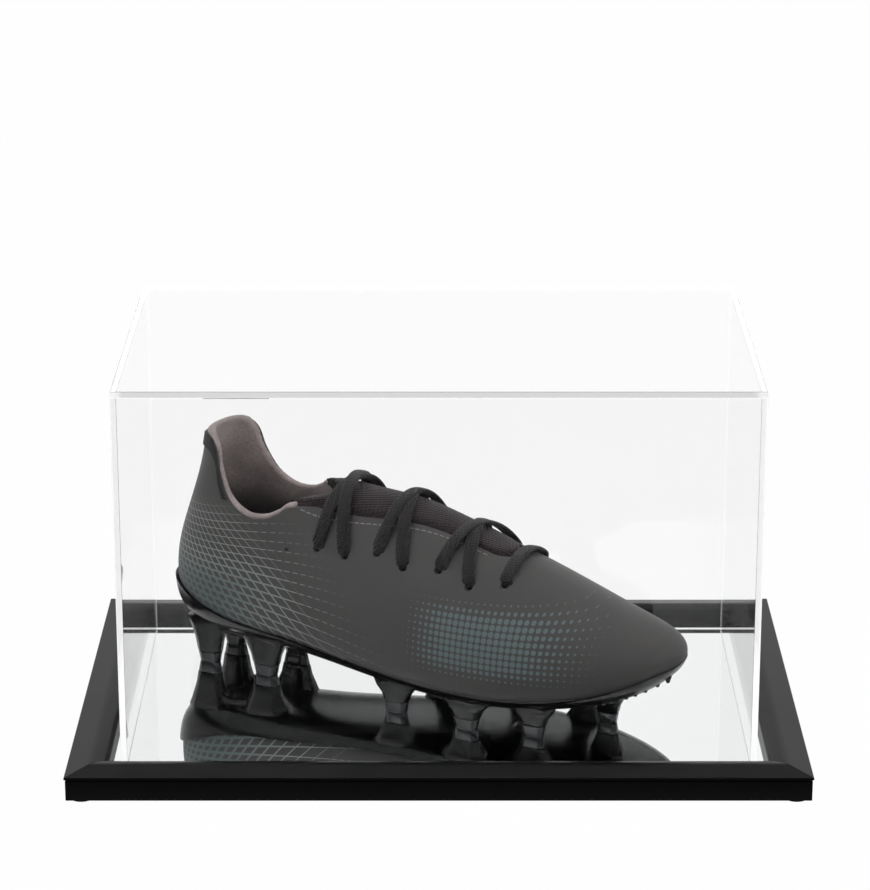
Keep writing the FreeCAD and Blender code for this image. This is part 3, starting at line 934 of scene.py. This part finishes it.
@dataclass
class ClearCover:
    """Five cemented acrylic sheets with softened edges."""

    edge_softness: float = 0.00035
    joint_gap: float = 0.00002
    # The least share of a broad face's normal that points along the sheet's thickness.
    broad: float = 0.9

    def build(self) -> None:
        """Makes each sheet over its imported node."""
        acrylic, sawn = ClearAcrylic().material(), SawnEdge().material()
        inset = Vector((self.joint_gap,) * 3)
        for side in ("top", "front", "back", "left", "right"):
            low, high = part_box(f"cover_{side}")
            low, high = Vector(low) + inset, Vector(high) - inset
            deselect()
            bpy.ops.mesh.primitive_cube_add(size=1.0, location=(low + high) / 2)
            sheet = bpy.context.object
            sheet.name = f"{side}_sheet"
            sheet.scale = high - low
            bpy.ops.object.transform_apply(location=True, rotation=True, scale=True)
            apply_modifier(sheet, "BEVEL", width=self.edge_softness, segments=2, limit_method="ANGLE")
            hand_over(sheet, Body.COVER, acrylic, [f"cover_{side}"])
            sheet.data.materials.append(sawn)
            thin = min(range(3), key=lambda axis: (high - low)[axis])
            for face in sheet.data.polygons:
                face.material_index = int(abs(face.normal[thin]) < self.broad)


# Boot


@dataclass
class Boot:
    """A right football boot, from the rings of its last."""

    reach: tuple[float, float] = (0.2544, 0.124)
    width: float = 0.092
    height: float = 0.132
    middle: tuple[float, float] = (-0.0073, 0.006)
    floor: float = 0.0075
    wall: float = 0.0018
    lining: float = 0.0030
    lining_rise: float = 0.0013
    tongue_gap: float = 0.0003
    tongue: float = 0.0034
    tongue_half_width: float = 0.027
    throat_half_width: float = 0.021
    throat_length: float = 0.104
    lace_width: float = 0.0070
    lace_thickness: float = 0.0024
    eyelet_radius: float = 0.0022
    ring_points: int = 20
    # Each row is a tilted ring: its heel or sole point and its instep point as shares of the length and height,
    # its outer and inner half widths as shares of the width, where it is widest, and how square its halves are.
    stations: tuple[tuple[float, ...], ...] = (
        (0.070, 1.000, 0.275, 0.830, 0.26, 0.26, 0.45, 2.3, 2.3),
        (0.058, 0.830, 0.290, 0.815, 0.28, 0.28, 0.45, 2.3, 2.3),
        (0.030, 0.650, 0.315, 0.805, 0.31, 0.31, 0.45, 2.3, 2.2),
        (0.006, 0.490, 0.345, 0.800, 0.34, 0.33, 0.43, 2.3, 2.1),
        (0.000, 0.340, 0.385, 0.800, 0.35, 0.34, 0.40, 2.3, 2.0),
        (0.020, 0.185, 0.430, 0.798, 0.36, 0.34, 0.38, 2.5, 2.0),
        (0.130, 0.150, 0.475, 0.792, 0.37, 0.35, 0.36, 2.8, 2.0),
        (0.290, 0.140, 0.520, 0.776, 0.40, 0.36, 0.34, 3.0, 2.0),
        (0.430, 0.110, 0.570, 0.740, 0.46, 0.40, 0.32, 3.2, 2.0),
        (0.560, 0.088, 0.636, 0.685, 0.51, 0.46, 0.32, 3.2, 2.0),
        (0.680, 0.084, 0.720, 0.618, 0.52, 0.49, 0.33, 3.2, 2.0),
        (0.790, 0.100, 0.810, 0.530, 0.47, 0.48, 0.36, 3.0, 2.0),
        (0.880, 0.135, 0.893, 0.450, 0.37, 0.43, 0.40, 2.8, 2.0),
        (0.945, 0.180, 0.953, 0.400, 0.24, 0.36, 0.44, 2.5, 2.0),
        (0.980, 0.238, 0.984, 0.358, 0.08, 0.24, 0.47, 2.2, 2.0),
        (0.994, 0.282, 0.996, 0.322, -0.03, 0.13, 0.50, 2.0, 2.0),
    )
    collar: tuple[tuple[float, float], ...] = (
        (0.038, 0.900), (0.068, 0.950), (0.100, 0.952), (0.119, 0.910), (0.130, 0.825), (0.152, 0.735),
        (0.188, 0.682), (0.226, 0.680), (0.252, 0.705), (0.282, 0.735), (0.430, 0.752),
    )
    eyelets: tuple[tuple[float, float], ...] = (
        (0.335, 0.600), (0.392, 0.590), (0.455, 0.620), (0.512, 0.590), (0.580, 0.600), (0.642, 0.560),
        (0.700, 0.570),
    )
    lace_lifts: tuple[float, ...] = (0.0042, 0.0052, 0.0040, 0.0030, 0.0034, 0.0024, 0.0020)
    plate: float = 0.0018
    # The upper edge of the sole plate in side view, as shares of the length and height.
    plate_line: tuple[tuple[float, float], ...] = (
        (-0.05, 0.375), (0.02, 0.350), (0.09, 0.285), (0.16, 0.240), (0.29, 0.208), (0.43, 0.168),
        (0.56, 0.146), (0.70, 0.142), (0.80, 0.162), (0.88, 0.200), (0.95, 0.252), (1.02, 0.300),
    )
    # Each stud's share of the length, its place to the inner side, and its blade's length and width at the tip.
    studs: tuple[tuple[float, float, float, float], ...] = (
        (0.080, -0.014, 0.012, 0.0065), (0.080, 0.014, 0.012, 0.0065), (0.205, -0.017, 0.013, 0.0065),
        (0.205, 0.016, 0.013, 0.0065), (0.500, -0.032, 0.012, 0.006), (0.500, 0.025, 0.012, 0.006),
        (0.645, -0.036, 0.013, 0.0065), (0.645, 0.033, 0.013, 0.0065), (0.710, -0.001, 0.009, 0.0075),
        (0.765, -0.030, 0.012, 0.006), (0.770, 0.033, 0.012, 0.006), (0.860, 0.002, 0.010, 0.0065),
    )
    tip_height: float = 0.006
    spare_hole: tuple[float, float] = (0.2756, 0.576)
    spare_radius: float = 0.0012
    smallest_ring: float = 0.0025
    # A height that is clear over the boot, as a share of its own, and a distance that is clear outside it.
    sky: float = 1.5
    outside: float = 0.2
    # The lowest level of the throat's slot, of the lining and of the tongue, as shares of the height.
    slot_level: float = 0.45
    lining_level: float = 0.40
    tongue_level: float = 0.55
    throat_taper: float = 0.62
    # The rolled rim of the collar: how far inside the skin it starts, its wall, and the band that it fills
    # over the collar's edge.
    rim_inset: float = 0.0004
    rim_wall: float = 0.0041
    rim_band: tuple[float, float] = (0.0003, 0.0021)
    # The tongue reaches past both ends of the throat. Its middle bulges out through the throat, and its rear
    # end is hollowed in plan.
    tongue_reach: tuple[float, float] = (0.010, 0.008)
    bulge: float = 0.0012
    bulge_wall: float = 0.0060
    bulge_reach: tuple[float, float] = (0.006, -0.002)
    tongue_dip: float = 0.022
    bulge_dip: float = 0.019
    padding_grain: float = 0.0008
    tape: float = 0.0009
    tape_width: float = 0.006
    tape_low: float = 0.097
    tape_front: float = 0.043
    cushion_inset: float = 0.00345
    cushion: float = 0.0039
    cushion_grain: float = 0.0012
    stitch: float = 0.0022
    stitch_step: float = 1.5
    stitch_radius: float = 0.00028
    stitch_margin: float = 0.0024
    # A quarter of a stud's section, as shares of its half length and half width.
    blade_quarter: tuple[tuple[float, float], ...] = ((1.0, 0.45), (0.6, 1.0))
    # How much a stud grows from its tip to the plate, and where its waist is on the way.
    tip_growth: tuple[float, float] = (0.9, 1.08)
    stem_growth: tuple[float, ...] = (1.12, 1.3, 1.75, 2.0)
    waist: float = 0.35
    # The heel ribs: half their width, their share of the stud's height in the middle and what the ends add to
    # it, and how round the arch is.
    web_half: float = 0.0024
    web_arch: tuple[float, float, float] = (0.22, 0.62, 2.2)
    # The grips under the toe and the bead on the forefoot: where each row starts and how long it is, as shares
    # of the length.
    toe_teeth: int = 9
    teeth_row: tuple[float, float] = (0.870, 0.105)
    teeth_drop: float = 0.0056
    tooth: tuple[float, float] = (0.0036, 0.0040)
    bead_row: tuple[float, float] = (0.40, 0.45)
    bead_radius: float = 0.0005
    # The height that the lace's runs go round, as a share, and how far they clear the skin and sink into it.
    lace_core: float = 0.42
    lace_gap: float = 0.0007
    lace_sink: float = 0.0035
    # How the tongue's rear end rolls down into the boot in side view, as shares of the length and height.
    tongue_roll: tuple[tuple[float, float], ...] = (
        (0.20, 0.725), (0.26, 0.756), (0.31, 0.772), (0.36, 0.795), (0.41, 0.822), (0.50, 0.850),
    )

    @property
    def length(self) -> float:
        """From heel to toe."""
        return math.hypot(*self.reach)

    @property
    def turn(self) -> float:
        """How far the toe is turned to the front, in radians."""
        return math.atan2(self.reach[1], self.reach[0])

    @property
    def heel(self) -> Vector:
        """The boot's origin, on the mirror under the back of the heel."""
        return Vector((self.middle[0] - self.reach[0] / 2, self.middle[1] + self.reach[1] / 2, self.floor))

    @property
    def throat_start(self) -> float:
        """Where the throat opens out of the collar."""
        return self.collar[-2][0] * self.length

    def place(self, point: Vector) -> Vector:
        """Turns a point of the boot's frame into one of the case's."""
        cos, sin = math.cos(self.turn), math.sin(self.turn)
        return self.heel + Vector((point.x * cos + point.y * sin, point.y * cos - point.x * sin, point.z))

    def unplace(self, point: Vector) -> Vector:
        """Turns a point of the case's frame into one of the boot's."""
        cos, sin = math.cos(self.turn), math.sin(self.turn)
        away = point - self.heel
        return Vector((away.x * cos - away.y * sin, away.x * sin + away.y * cos, away.z))

    def ring(self, station: Sequence[float], inward: float) -> Points | None:
        """One ring of the last, moved inwards.

        Args:
            station: A row of the table of stations.
            inward: How far inside the boot's skin it runs.

        Returns:
            The ring's points in the case's frame, or None where nothing is left.
        """
        sole_s, sole_z, top_s, top_z, outer, inner, widest, square_low, square_top = station
        sole = Vector((sole_s * self.length, 0, sole_z * self.height))
        top = Vector((top_s * self.length, 0, top_z * self.height))
        along = (top - sole).normalized()
        sole, top = sole + along * inward, top - along * inward
        middle = (inner - outer) * self.width / 2
        half = (inner + outer) * self.width / 2 - inward
        if min(half, (top - sole).dot(along)) < self.smallest_ring:
            return None
        points = []
        for i in range(self.ring_points):
            angle = FULL_TURN * i / self.ring_points
            low = math.cos(angle) >= 0
            square = square_low if low else square_top
            rise = abs(math.cos(angle)) ** (2 / square)
            share = widest * (1 - rise) if low else widest + (1 - widest) * rise
            side = math.copysign(abs(math.sin(angle)) ** (2 / square), -math.sin(angle))
            points.append(self.place(sole + (top - sole) * share + Vector((0, middle + half * side, 0))))
        return points

    def skin(self, name: str, inward: float, thickness: float, levels: int = 3) -> Piece:
        """The boot's form as a closed shell.

        Args:
            name: The shell's name.
            inward: How far its outer face lies inside the boot's skin.
            thickness: The shell's wall, or 0 for the bare skin.
            levels: How finely it is subdivided.

        Returns:
            The shell, open only at the collar.
        """
        rings = [r for r in (self.ring(station, inward) for station in self.stations) if r is not None]
        shell = loft(name, rings, cap_end=True)
        subdivide(shell, levels)
        if thickness:
            apply_modifier(shell, "SOLIDIFY", thickness=thickness, offset=-1.0, use_even_offset=True)
        return shell

    def side_shape(self, name: str, outline: Pairs, rise: float = 0.0) -> Piece:
        """A closed shape with a side-view outline, right across the boot.

        Args:
            name: The shape's name.
            outline: Its corners as shares of the length and height.
            rise: How far it is moved up.

        Returns:
            The shape.
        """
        rings = [
            [self.place(Vector((s * self.length, y * self.width, z * self.height + rise))) for s, z in outline]
            for y in (-1, 1)
        ]
        return loft(name, rings, cap_start=True, cap_end=True)

    def above_collar(self, rise: float = 0.0) -> Piece:
        """Everything over the collar's edge, as a cutting shape.

        Args:
            rise: How far over the edge it starts.

        Returns:
            The shape.
        """
        line = smooth_line(self.collar)
        rear = -0.1
        corners = [(line[-1][0], self.sky), (rear, self.sky), (rear, line[0][1])]
        return self.side_shape("above_collar", line + corners, rise)

    def throat(self, half_width: float, start: float, finish: float, bottom: float, dip: float = 0.0) -> Piece:
        """A tapered slot over the instep with a round end, as a tall shape.

        Args:
            half_width: Half its width at the collar.
            start: Where it starts along the boot.
            finish: Where its round end starts.
            bottom: Its lowest level.
            dip: How far its start is hollowed towards the toe in the middle.

        Returns:
            The shape.
        """
        toe_half = half_width * self.throat_taper
        plan = [(start, -half_width)]
        plan += [
            (finish + toe_half * math.cos(a), toe_half * math.sin(a))
            for a in (math.pi * (i / 16 - 0.5) for i in range(17))
        ]
        plan.append((start, half_width))
        hollow = (0.75, 0.5, 0.25, 0.0, -0.25, -0.5, -0.75)
        plan += [(start + dip * (1 - y * y), y * half_width) for y in hollow]
        rings = [[self.place(Vector((x, y, z))) for x, y in plan] for z in (bottom, self.sky * self.height)]
        return loft("throat", rings, cap_start=True, cap_end=True)

    def box_shape(self, low: Sequence[float], high: Sequence[float]) -> Piece:
        """A block in the boot's frame, as a cutting shape.

        Args:
            low: Its lowest corner.
            high: Its highest corner.

        Returns:
            The block.
        """
        plan = ((low[0], low[1]), (high[0], low[1]), (high[0], high[1]), (low[0], high[1]))
        rings = [[self.place(Vector((x, y, z))) for x, y in plan] for z in (low[2], high[2])]
        return loft("block", rings, cap_start=True, cap_end=True)

    def hit(self, form: Piece, start: Vector, toward: Vector) -> Vector:
        """Where a line first meets a mesh.

        Args:
            form: The mesh.
            start: The line's start, in the boot's frame.
            toward: A point that it goes to, in the boot's frame.

        Returns:
            The point in the case's frame, or the line's far point where it meets nothing.
        """
        begin, end = self.place(start), self.place(toward)
        found, where, _, _ = form.ray_cast(begin, (end - begin).normalized())
        return where if found else end

    def build(self, nodes: dict[str, Piece]) -> None:
        """Makes and dresses the boot's pieces.

        Args:
            nodes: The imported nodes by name.
        """
        form = self.skin("form", 0.0, 0.0)
        self.make_upper(form)
        self.make_lining()
        self.make_tongue()
        self.make_lace(form)
        self.make_binding()
        self.make_sockliner()
        self.make_sole(form)
        bpy.data.objects.remove(form, do_unlink=True)
        dress(nodes["insole_board"], Grainy("fibre_board", "#6b6058", "#4d443e", 0.9).material())

    def make_upper(self, form: Piece) -> None:
        """The outer shell, cut open at the collar, throat and eyelets, with its stitching.

        Args:
            form: The boot's bare skin.
        """
        upper = self.skin("boot_shell", 0.0, self.wall)
        trim(upper, self.above_collar(), Cut.AWAY)
        finish = self.throat_start + self.throat_length
        slot = self.throat(self.throat_half_width, self.throat_start, finish, self.slot_level * self.height)
        trim(upper, slot, Cut.AWAY)
        trim(upper, self.eyelet_pins(), Cut.AWAY)
        smooth(upper, 45)
        material = SyntheticUpper(self.heel, self.turn).material()
        hand_over(upper, Body.BOOT, material, ["upper"])
        stitches = join("stitches", self.stitches(form))
        dress(stitches, Grainy("grey_sewing_thread", "#8e8b8a", "#6d6a6a", 0.4).material())
        join(upper.name, [upper, stitches])

    def eyelet_pins(self) -> Piece:
        """Pins right across the boot at the eyelets, and at the spare hole by the ankle."""
        pins = []
        holes = [(spot, self.eyelet_radius) for spot in self.eyelets] + [(self.spare_hole, self.spare_radius)]
        turns = [FULL_TURN * k / 16 for k in range(16)]
        for (s, z), radius in holes:
            outline = [
                (s + radius * math.cos(a) / self.length, z + radius * math.sin(a) / self.height) for a in turns
            ]
            pins.append(self.side_shape("pin", outline))
        return join("pins", pins)

    def stitches(self, form: Piece) -> list[Piece]:
        """A dashed row of thread beside both edges of the throat.

        Args:
            form: The boot's bare skin.

        Returns:
            The dashes.
        """
        dashes = []
        for side in Side:
            s, end = self.throat_start + 0.003, self.throat_start + self.throat_length
            while s < end:
                line = []
                for step in range(4):
                    x = s + self.stitch * step / 3
                    f = (x - self.throat_start) / self.throat_length
                    edge = self.throat_half_width * (1 - (1 - self.throat_taper) * f)
                    y = side.value * (edge + self.stitch_margin)
                    line.append(self.hit(form, Vector((x, y, self.outside)), Vector((x, y, 0))))
                dashes.append(tube("stitch", line, self.stitch_radius))
                s += self.stitch * self.stitch_step
        return dashes

    def make_lining(self) -> None:
        """The padded collar lining, with its rolled rim."""
        lining = self.skin("collar_padding", self.wall, self.lining)
        trim(lining, self.above_collar(self.lining_rise), Cut.AWAY)
        rim = self.skin("rolled_rim", self.rim_inset, self.rim_wall)
        trim(rim, self.above_collar(self.rim_band[1]), Cut.AWAY)
        trim(rim, self.above_collar(self.rim_band[0]), Cut.KEEP)
        low = (-0.02, -self.width, self.lining_level * self.height)
        high = (self.throat_start, self.width, self.sky * self.height)
        for layer in (lining, rim):
            trim(layer, self.box_shape(low, high), Cut.KEEP)
        lining = join(lining.name, [lining, rim])
        soften(lining, self.padding_grain, 8)
        hand_over(lining, Body.BOOT, SuedeCloth().material(), ["collar_lining"])

    def make_tongue(self) -> None:
        """The knitted tongue under the throat, which bulges out between the throat's edges."""
        start, finish = self.throat_start, self.throat_start + self.throat_length
        bottom = self.tongue_level * self.height
        rear, front = self.tongue_reach
        tongue = self.skin("knit_tongue", self.wall + self.tongue_gap, self.tongue)
        strip = self.throat(self.tongue_half_width, start - rear, finish + front, bottom, self.tongue_dip)
        trim(tongue, strip, Cut.KEEP)
        bulge = self.skin("tongue_bulge", -self.bulge, self.bulge_wall)
        rear, front = self.bulge_reach
        half_width = self.throat_half_width - self.bulge
        slot = self.throat(half_width, start - rear, finish + front, bottom, self.bulge_dip)
        trim(bulge, slot, Cut.KEEP)
        roll = smooth_line(self.tongue_roll)
        over = roll + [(roll[-1][0], self.sky), (roll[0][0], self.sky)]
        for layer in (tongue, bulge):
            trim(layer, self.side_shape("over_tongue", over), Cut.AWAY)
        tongue = join(tongue.name, [tongue, bulge])
        soften(tongue, self.padding_grain, 30)
        # Real ribs are about 1 mm apart: these are drawn coarser, so that they show in the render.
        knit = Woven("ribbed_dark_knit", "#26181c", "#0d080a", 2.4, 0.55, 0.9)
        hand_over(tongue, Body.BOOT, knit.material(), ["tongue"])

    def make_binding(self) -> None:
        """The black tape round the heel tab's edge."""
        tape = self.skin("tape_binding", -self.tape, self.tape)
        trim(tape, self.above_collar(), Cut.AWAY)
        trim(tape, self.above_collar(-self.tape_width), Cut.KEEP)
        low, high = (-0.02, -self.width, self.tape_low), (self.tape_front, self.width, self.outside)
        trim(tape, self.box_shape(low, high), Cut.KEEP)
        smooth(tape, 50)
        weave = Woven("black_tape", "#1b1a1b", "#0c0c0d", 0.9, 0.1)
        hand_over(tape, Body.BOOT, weave.material(), ["heel_tab_binding"])

    def make_sockliner(self) -> None:
        """The cushion that the foot stands on."""
        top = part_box("sockliner")[1][2] - self.floor - 0.0003
        cushion = self.skin("sock_cushion", self.cushion_inset, self.cushion, levels=2)
        trim(cushion, self.box_shape((-0.1, -self.width, -0.02), (0.5, self.width, top)), Cut.KEEP)
        soften(cushion, self.cushion_grain, 4)
        weave = Woven("dark_sock_cloth", "#37302f", "#221d1e", 1.2, 0.1)
        hand_over(cushion, Body.BOOT, weave.material(), ["sockliner"])

    def blade(self, stud: Sequence[float], levels: Pairs) -> Piece:
        """A faceted stud or a slice of one.

        Args:
            stud: A row of the table of studs.
            levels: Heights over the mirror, each with the blade's growth there.

        Returns:
            The blade, with eight sides and bevelled edges.
        """
        s, across, length, width = stud
        (x0, y0), (x1, y1) = self.blade_quarter
        half = ((x0, y0), (x1, y1), (-x1, y1), (-x0, y0))
        section = half + tuple((-x, -y) for x, y in half)
        rings = []
        for z, growth in levels:
            rings.append([
                self.place(Vector((
                    s * self.length + x * growth * length / 2, across + y * growth * width / 2, z,
                )))
                for x, y in section
            ])
        blade = loft("blade", rings, cap_start=True, cap_end=True)
        apply_modifier(
            blade, "BEVEL", width=0.0004, segments=2, limit_method="ANGLE", angle_limit=math.radians(20)
        )
        return blade

    def web(self, form: Piece, rear: Sequence[float], front: Sequence[float]) -> Piece:
        """An arched rib between a rear heel stud and the one in front of it.

        Args:
            form: The boot's bare skin.
            rear: The rear stud's row of the table.
            front: The front stud's row of the table.

        Returns:
            The rib.
        """
        half, steps = self.web_half, 16
        crown, legs, power = self.web_arch
        rings = []
        for step in range(steps + 1):
            f = step / steps
            s = (rear[0] + (front[0] - rear[0]) * f) * self.length
            y = rear[1] + (front[1] - rear[1]) * f
            top = self.hit(form, Vector((s, y, 0)), Vector((s, y, 0.1))).z - self.floor
            bottom = top - (top - self.tip_height) * (crown + legs * abs(2 * f - 1) ** power)
            section = ((-half, bottom), (half, bottom), (half, top), (-half, top))
            rings.append([self.place(Vector((s, y + across, z))) for across, z in section])
        web = loft("web", rings, cap_start=True, cap_end=True)
        apply_modifier(
            web, "BEVEL", width=0.0005, segments=2, limit_method="ANGLE", angle_limit=math.radians(50)
        )
        return web

    def plate_height(self, share: float) -> float:
        """The height of the plate's edge.

        Args:
            share: The place along the boot, as a share of its length.

        Returns:
            The height over the mirror.
        """
        for (s0, z0), (s1, z1) in zip(self.plate_line, self.plate_line[1:]):
            if s0 <= share <= s1:
                return (z0 + (z1 - z0) * (share - s0) / (s1 - s0)) * self.height
        return self.plate_line[-1][1] * self.height

    def outer_edge(self, form: Piece, share: float, z: float) -> Vector:
        """The point of the outer side at a share of the length and a height, in the case's frame."""
        x = share * self.length
        return self.hit(form, Vector((x, -self.outside, z)), Vector((x, 0, z)))

    def teeth(self, form: Piece) -> list[Piece]:
        """A row of small grips under the outer edge of the toe, and a bead along the forefoot's edge.

        Args:
            form: The boot's bare skin.

        Returns:
            The grips and the bead.
        """
        grips, line, steps = [], [], 40
        start, row = self.teeth_row
        for i in range(self.toe_teeth):
            share = start + row * i / (self.toe_teeth - 1)
            z = self.plate_height(share) - self.teeth_drop
            edge = self.unplace(self.outer_edge(form, share, z))
            grip = (share, edge.y + 0.0006, *self.tooth)
            grips.append(self.blade(grip, ((z - 0.0026, 0.45), (z + 0.0012, 1.0))))
        start, row = self.bead_row
        for i in range(steps + 1):
            share = start + row * i / steps
            line.append(self.outer_edge(form, share, self.plate_height(share) + 0.0002))
        return grips + [tube("bead", line, self.bead_radius)]

    def make_sole(self, form: Piece) -> None:
        """The glossy plate with its stud stems, and the stud tips.

        Args:
            form: The boot's bare skin.
        """
        plate = self.skin("gloss_plate", -self.plate, self.plate)
        line = smooth_line(self.plate_line)
        under = line + [(line[-1][0], -0.2), (line[0][0], -0.2)]
        trim(plate, self.side_shape("under_plate", under), Cut.KEEP)
        stems, tips = [plate], []
        tip = self.tip_height
        for stud in self.studs:
            spot = Vector((stud[0] * self.length, stud[1], 0.0))
            root = self.hit(form, spot, spot + UP * 0.1).z - self.floor
            heights = (tip, tip + self.waist * (root - tip), root - 0.003, root + 0.001)
            stems.append(self.blade(stud, tuple(zip(heights, self.stem_growth))))
            tips.append(self.blade(stud, tuple(zip((0.0, tip - 0.0002), self.tip_growth))))
        stems += self.teeth(form)
        stems += [self.web(form, self.studs[i], self.studs[i + 2]) for i in (0, 1)]
        sole = join("gloss_plate", stems)
        smooth(sole, 30)
        hand_over(sole, Body.BOOT, GlossMoulding().material(), ["sole_plate"])
        ends = join("faceted_tips", tips)
        smooth(ends, 20)
        smoky = GlossMoulding("smoky_gloss_urethane", "#2a2b2d", (0.06, 0.14))
        hand_over(ends, Body.BOOT, smoky.material(), ["stud_tips"])

    def lace_ring(self, centre: Vector, out: Vector, across: Vector) -> Points:
        """A flat, round-edged section of the lace.

        Args:
            centre: Its middle.
            out: The direction of its thickness.
            across: The direction of its width.

        Returns:
            The section's points.
        """
        ring, sides = [], 12
        for i in range(sides):
            cos, sin = math.cos(FULL_TURN * i / sides), math.sin(FULL_TURN * i / sides)
            flat = math.copysign(abs(cos) ** 0.6, cos) * self.lace_width / 2
            thick = math.copysign(abs(sin) ** 0.8, sin) * self.lace_thickness / 2
            ring.append(centre + across * flat + out * thick)
        return ring

    def lace_run(self, form: Piece, outer: int, lift: float) -> Piece:
        """One run of the lace, from an outer eyelet over the instep to an inner one.

        Args:
            form: The boot's bare skin.
            outer: The outer eyelet's number.
            lift: How far the run stands over the instep.

        Returns:
            The run.
        """
        inner = min(outer + 1 if outer % 2 == 0 else outer - 1, len(self.eyelets) - 1)
        ends = []
        for number, side in ((outer, Side.OUTER), (inner, Side.INNER)):
            s, z = self.eyelets[number]
            far = Vector((s * self.length, side.value * self.outside, z * self.height))
            ends.append(self.unplace(self.hit(form, far, Vector((far.x, 0, far.z)))))
        core_z, steps = self.lace_core * self.height, 28
        angles = [math.atan2(end.z - core_z, end.y) for end in ends]
        line = []
        for step in range(steps + 1):
            f = step / steps
            angle = angles[0] + (angles[1] - angles[0]) * f
            core = Vector((ends[0].x + (ends[1].x - ends[0].x) * f, 0, core_z))
            out = Vector((0, math.cos(angle), math.sin(angle)))
            surface = self.hit(form, core + out * self.outside, core)
            normal = (self.place(core + out) - self.place(core)).normalized()
            bow = math.sin(math.pi * f) ** 0.8
            line.append((surface + normal * (self.lace_gap + lift * bow), normal))
        for end in (0, -1):
            line[end] = (line[end][0] - line[end][1] * self.lace_sink, line[end][1])
        rings = []
        for i, (centre, normal) in enumerate(line):
            before, after = line[max(i - 1, 0)][0], line[min(i + 1, steps)][0]
            along = (after - before).normalized()
            across = along.cross(normal).normalized()
            rings.append(self.lace_ring(centre, across.cross(along).normalized(), across))
        run = loft(f"lace_run_{outer}", rings, cap_start=True, cap_end=True)
        subdivide(run, 1)
        return run

    def make_lace(self, form: Piece) -> None:
        """The flat woven lace.

        Args:
            form: The boot's bare skin.
        """
        runs = [self.lace_run(form, i, lift) for i, lift in enumerate(self.lace_lifts)]
        lace = join("woven_lace", runs)
        smooth(lace, 60)
        # Real threads are about 0.8 mm apart: these are drawn coarser, so that they show in the render.
        weave = Woven("woven_black_lace", "#171415", "#060505", 1.7, 0.5, 0.88)
        hand_over(lace, Body.BOOT, weave.material(), ["lace"])


# Studio


@dataclass
class Studio:
    """Camera, floor, white surroundings and soft lamps."""

    eye: tuple[float, float, float] = (0.0, -1.5757, 0.6588)
    pitch: float = 18.17
    focal_px: float = 3305.0
    frame_px: float = 890.0
    offset_px: float = 3.85
    sensor_mm: float = 36.0
    table_size: float = 8.0
    table_level: float = -0.0002
    # The strength of the world as light, and of its dim part behind the camera in reflections.
    soft_light: float = 0.28
    dim: float = 0.12
    # Each lamp's name, place, size and power, and the point that all of them face.
    lights: tuple[tuple[str, tuple[float, float, float], float, float], ...] = (
        ("overhead", (-0.2, -0.3, 1.6), 1.6, 7.5),
        ("front_left", (-1.1, -1.3, 0.9), 0.9, 4.0),
        ("right", (1.3, -0.3, 0.8), 0.8, 2.0),
    )
    aim: tuple[float, float, float] = (0.0, 0.0, 0.06)

    def camera(self) -> None:
        """The photograph's viewpoint."""
        deselect()
        bpy.ops.object.camera_add(location=self.eye, rotation=(math.radians(90 - self.pitch), 0, 0))
        camera = bpy.context.object
        camera.data.sensor_width = self.sensor_mm
        camera.data.lens = self.focal_px / self.frame_px * self.sensor_mm
        camera.data.shift_x = -self.offset_px / self.frame_px
        bpy.context.scene.camera = camera

    def floor(self) -> None:
        """A white table that keeps a soft shadow."""
        deselect()
        bpy.ops.mesh.primitive_plane_add(size=self.table_size, location=(0, 0, self.table_level))
        table = bpy.context.object
        table.name = "table"
        dress(table, WhiteTable().material())

    def surroundings(self) -> None:
        """White all round for the eye, softer as light, and darker behind the camera for gloss."""
        world = bpy.data.worlds.new("studio")
        bpy.context.scene.world = world
        world.use_nodes = True
        tree = world.node_tree
        tree.nodes.clear()
        add_node(tree, "path", "LightPath")
        add_node(tree, "place", "TexCoord")
        add_node(tree, "axes", "SeparateXYZ", {0: "place.Generated"})
        add_node(tree, "behind", "MapRange", {
            "Value": "axes.Y", "From Min": -0.35, "From Max": 0.15, "To Min": self.dim, "To Max": 1.0,
        }, interpolation_type="SMOOTHSTEP")
        for name, strength in (("gloss", "behind"), ("light", self.soft_light), ("white", 1.0)):
            add_node(tree, name, "Background", {"Color": srgb(WHITE), "Strength": strength})
        add_node(tree, "glossy", "MixShader", {0: "path.Is Glossy Ray", 1: "light", 2: "gloss"})
        add_node(tree, "seen", "Math", {
            0: "path.Is Camera Ray", 1: "path.Is Transmission Ray",
        }, operation="MAXIMUM")
        add_node(tree, "mix", "MixShader", {0: "seen", 1: "glossy", 2: "white"})
        add_node(tree, "output", "OutputWorld", {"Surface": "mix"})

    def lamps(self) -> None:
        """A large soft lamp overhead, and weaker ones at the front left and on the right."""
        for name, place, size, watts in self.lights:
            deselect()
            aim = (Vector(self.aim) - Vector(place)).to_track_quat("-Z", "Y").to_euler()
            bpy.ops.object.light_add(type="AREA", location=place, rotation=aim)
            lamp = bpy.context.object
            lamp.name = name
            lamp.data.size = size
            lamp.data.energy = watts

    def build(self) -> None:
        """Sets up the view and the light."""
        self.camera()
        self.floor()
        self.surroundings()
        self.lamps()
        bpy.context.scene.view_settings.view_transform = "Standard"


def main() -> None:
    """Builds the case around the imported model."""
    logging.basicConfig(level=logging.INFO, format="%(name)s %(message)s")
    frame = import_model()
    Studio().build()
    MouldedBase().build(frame["nodes"])
    ClearCover().build()
    Boot().build(frame["nodes"])


if __name__ == "__main__":
    main()
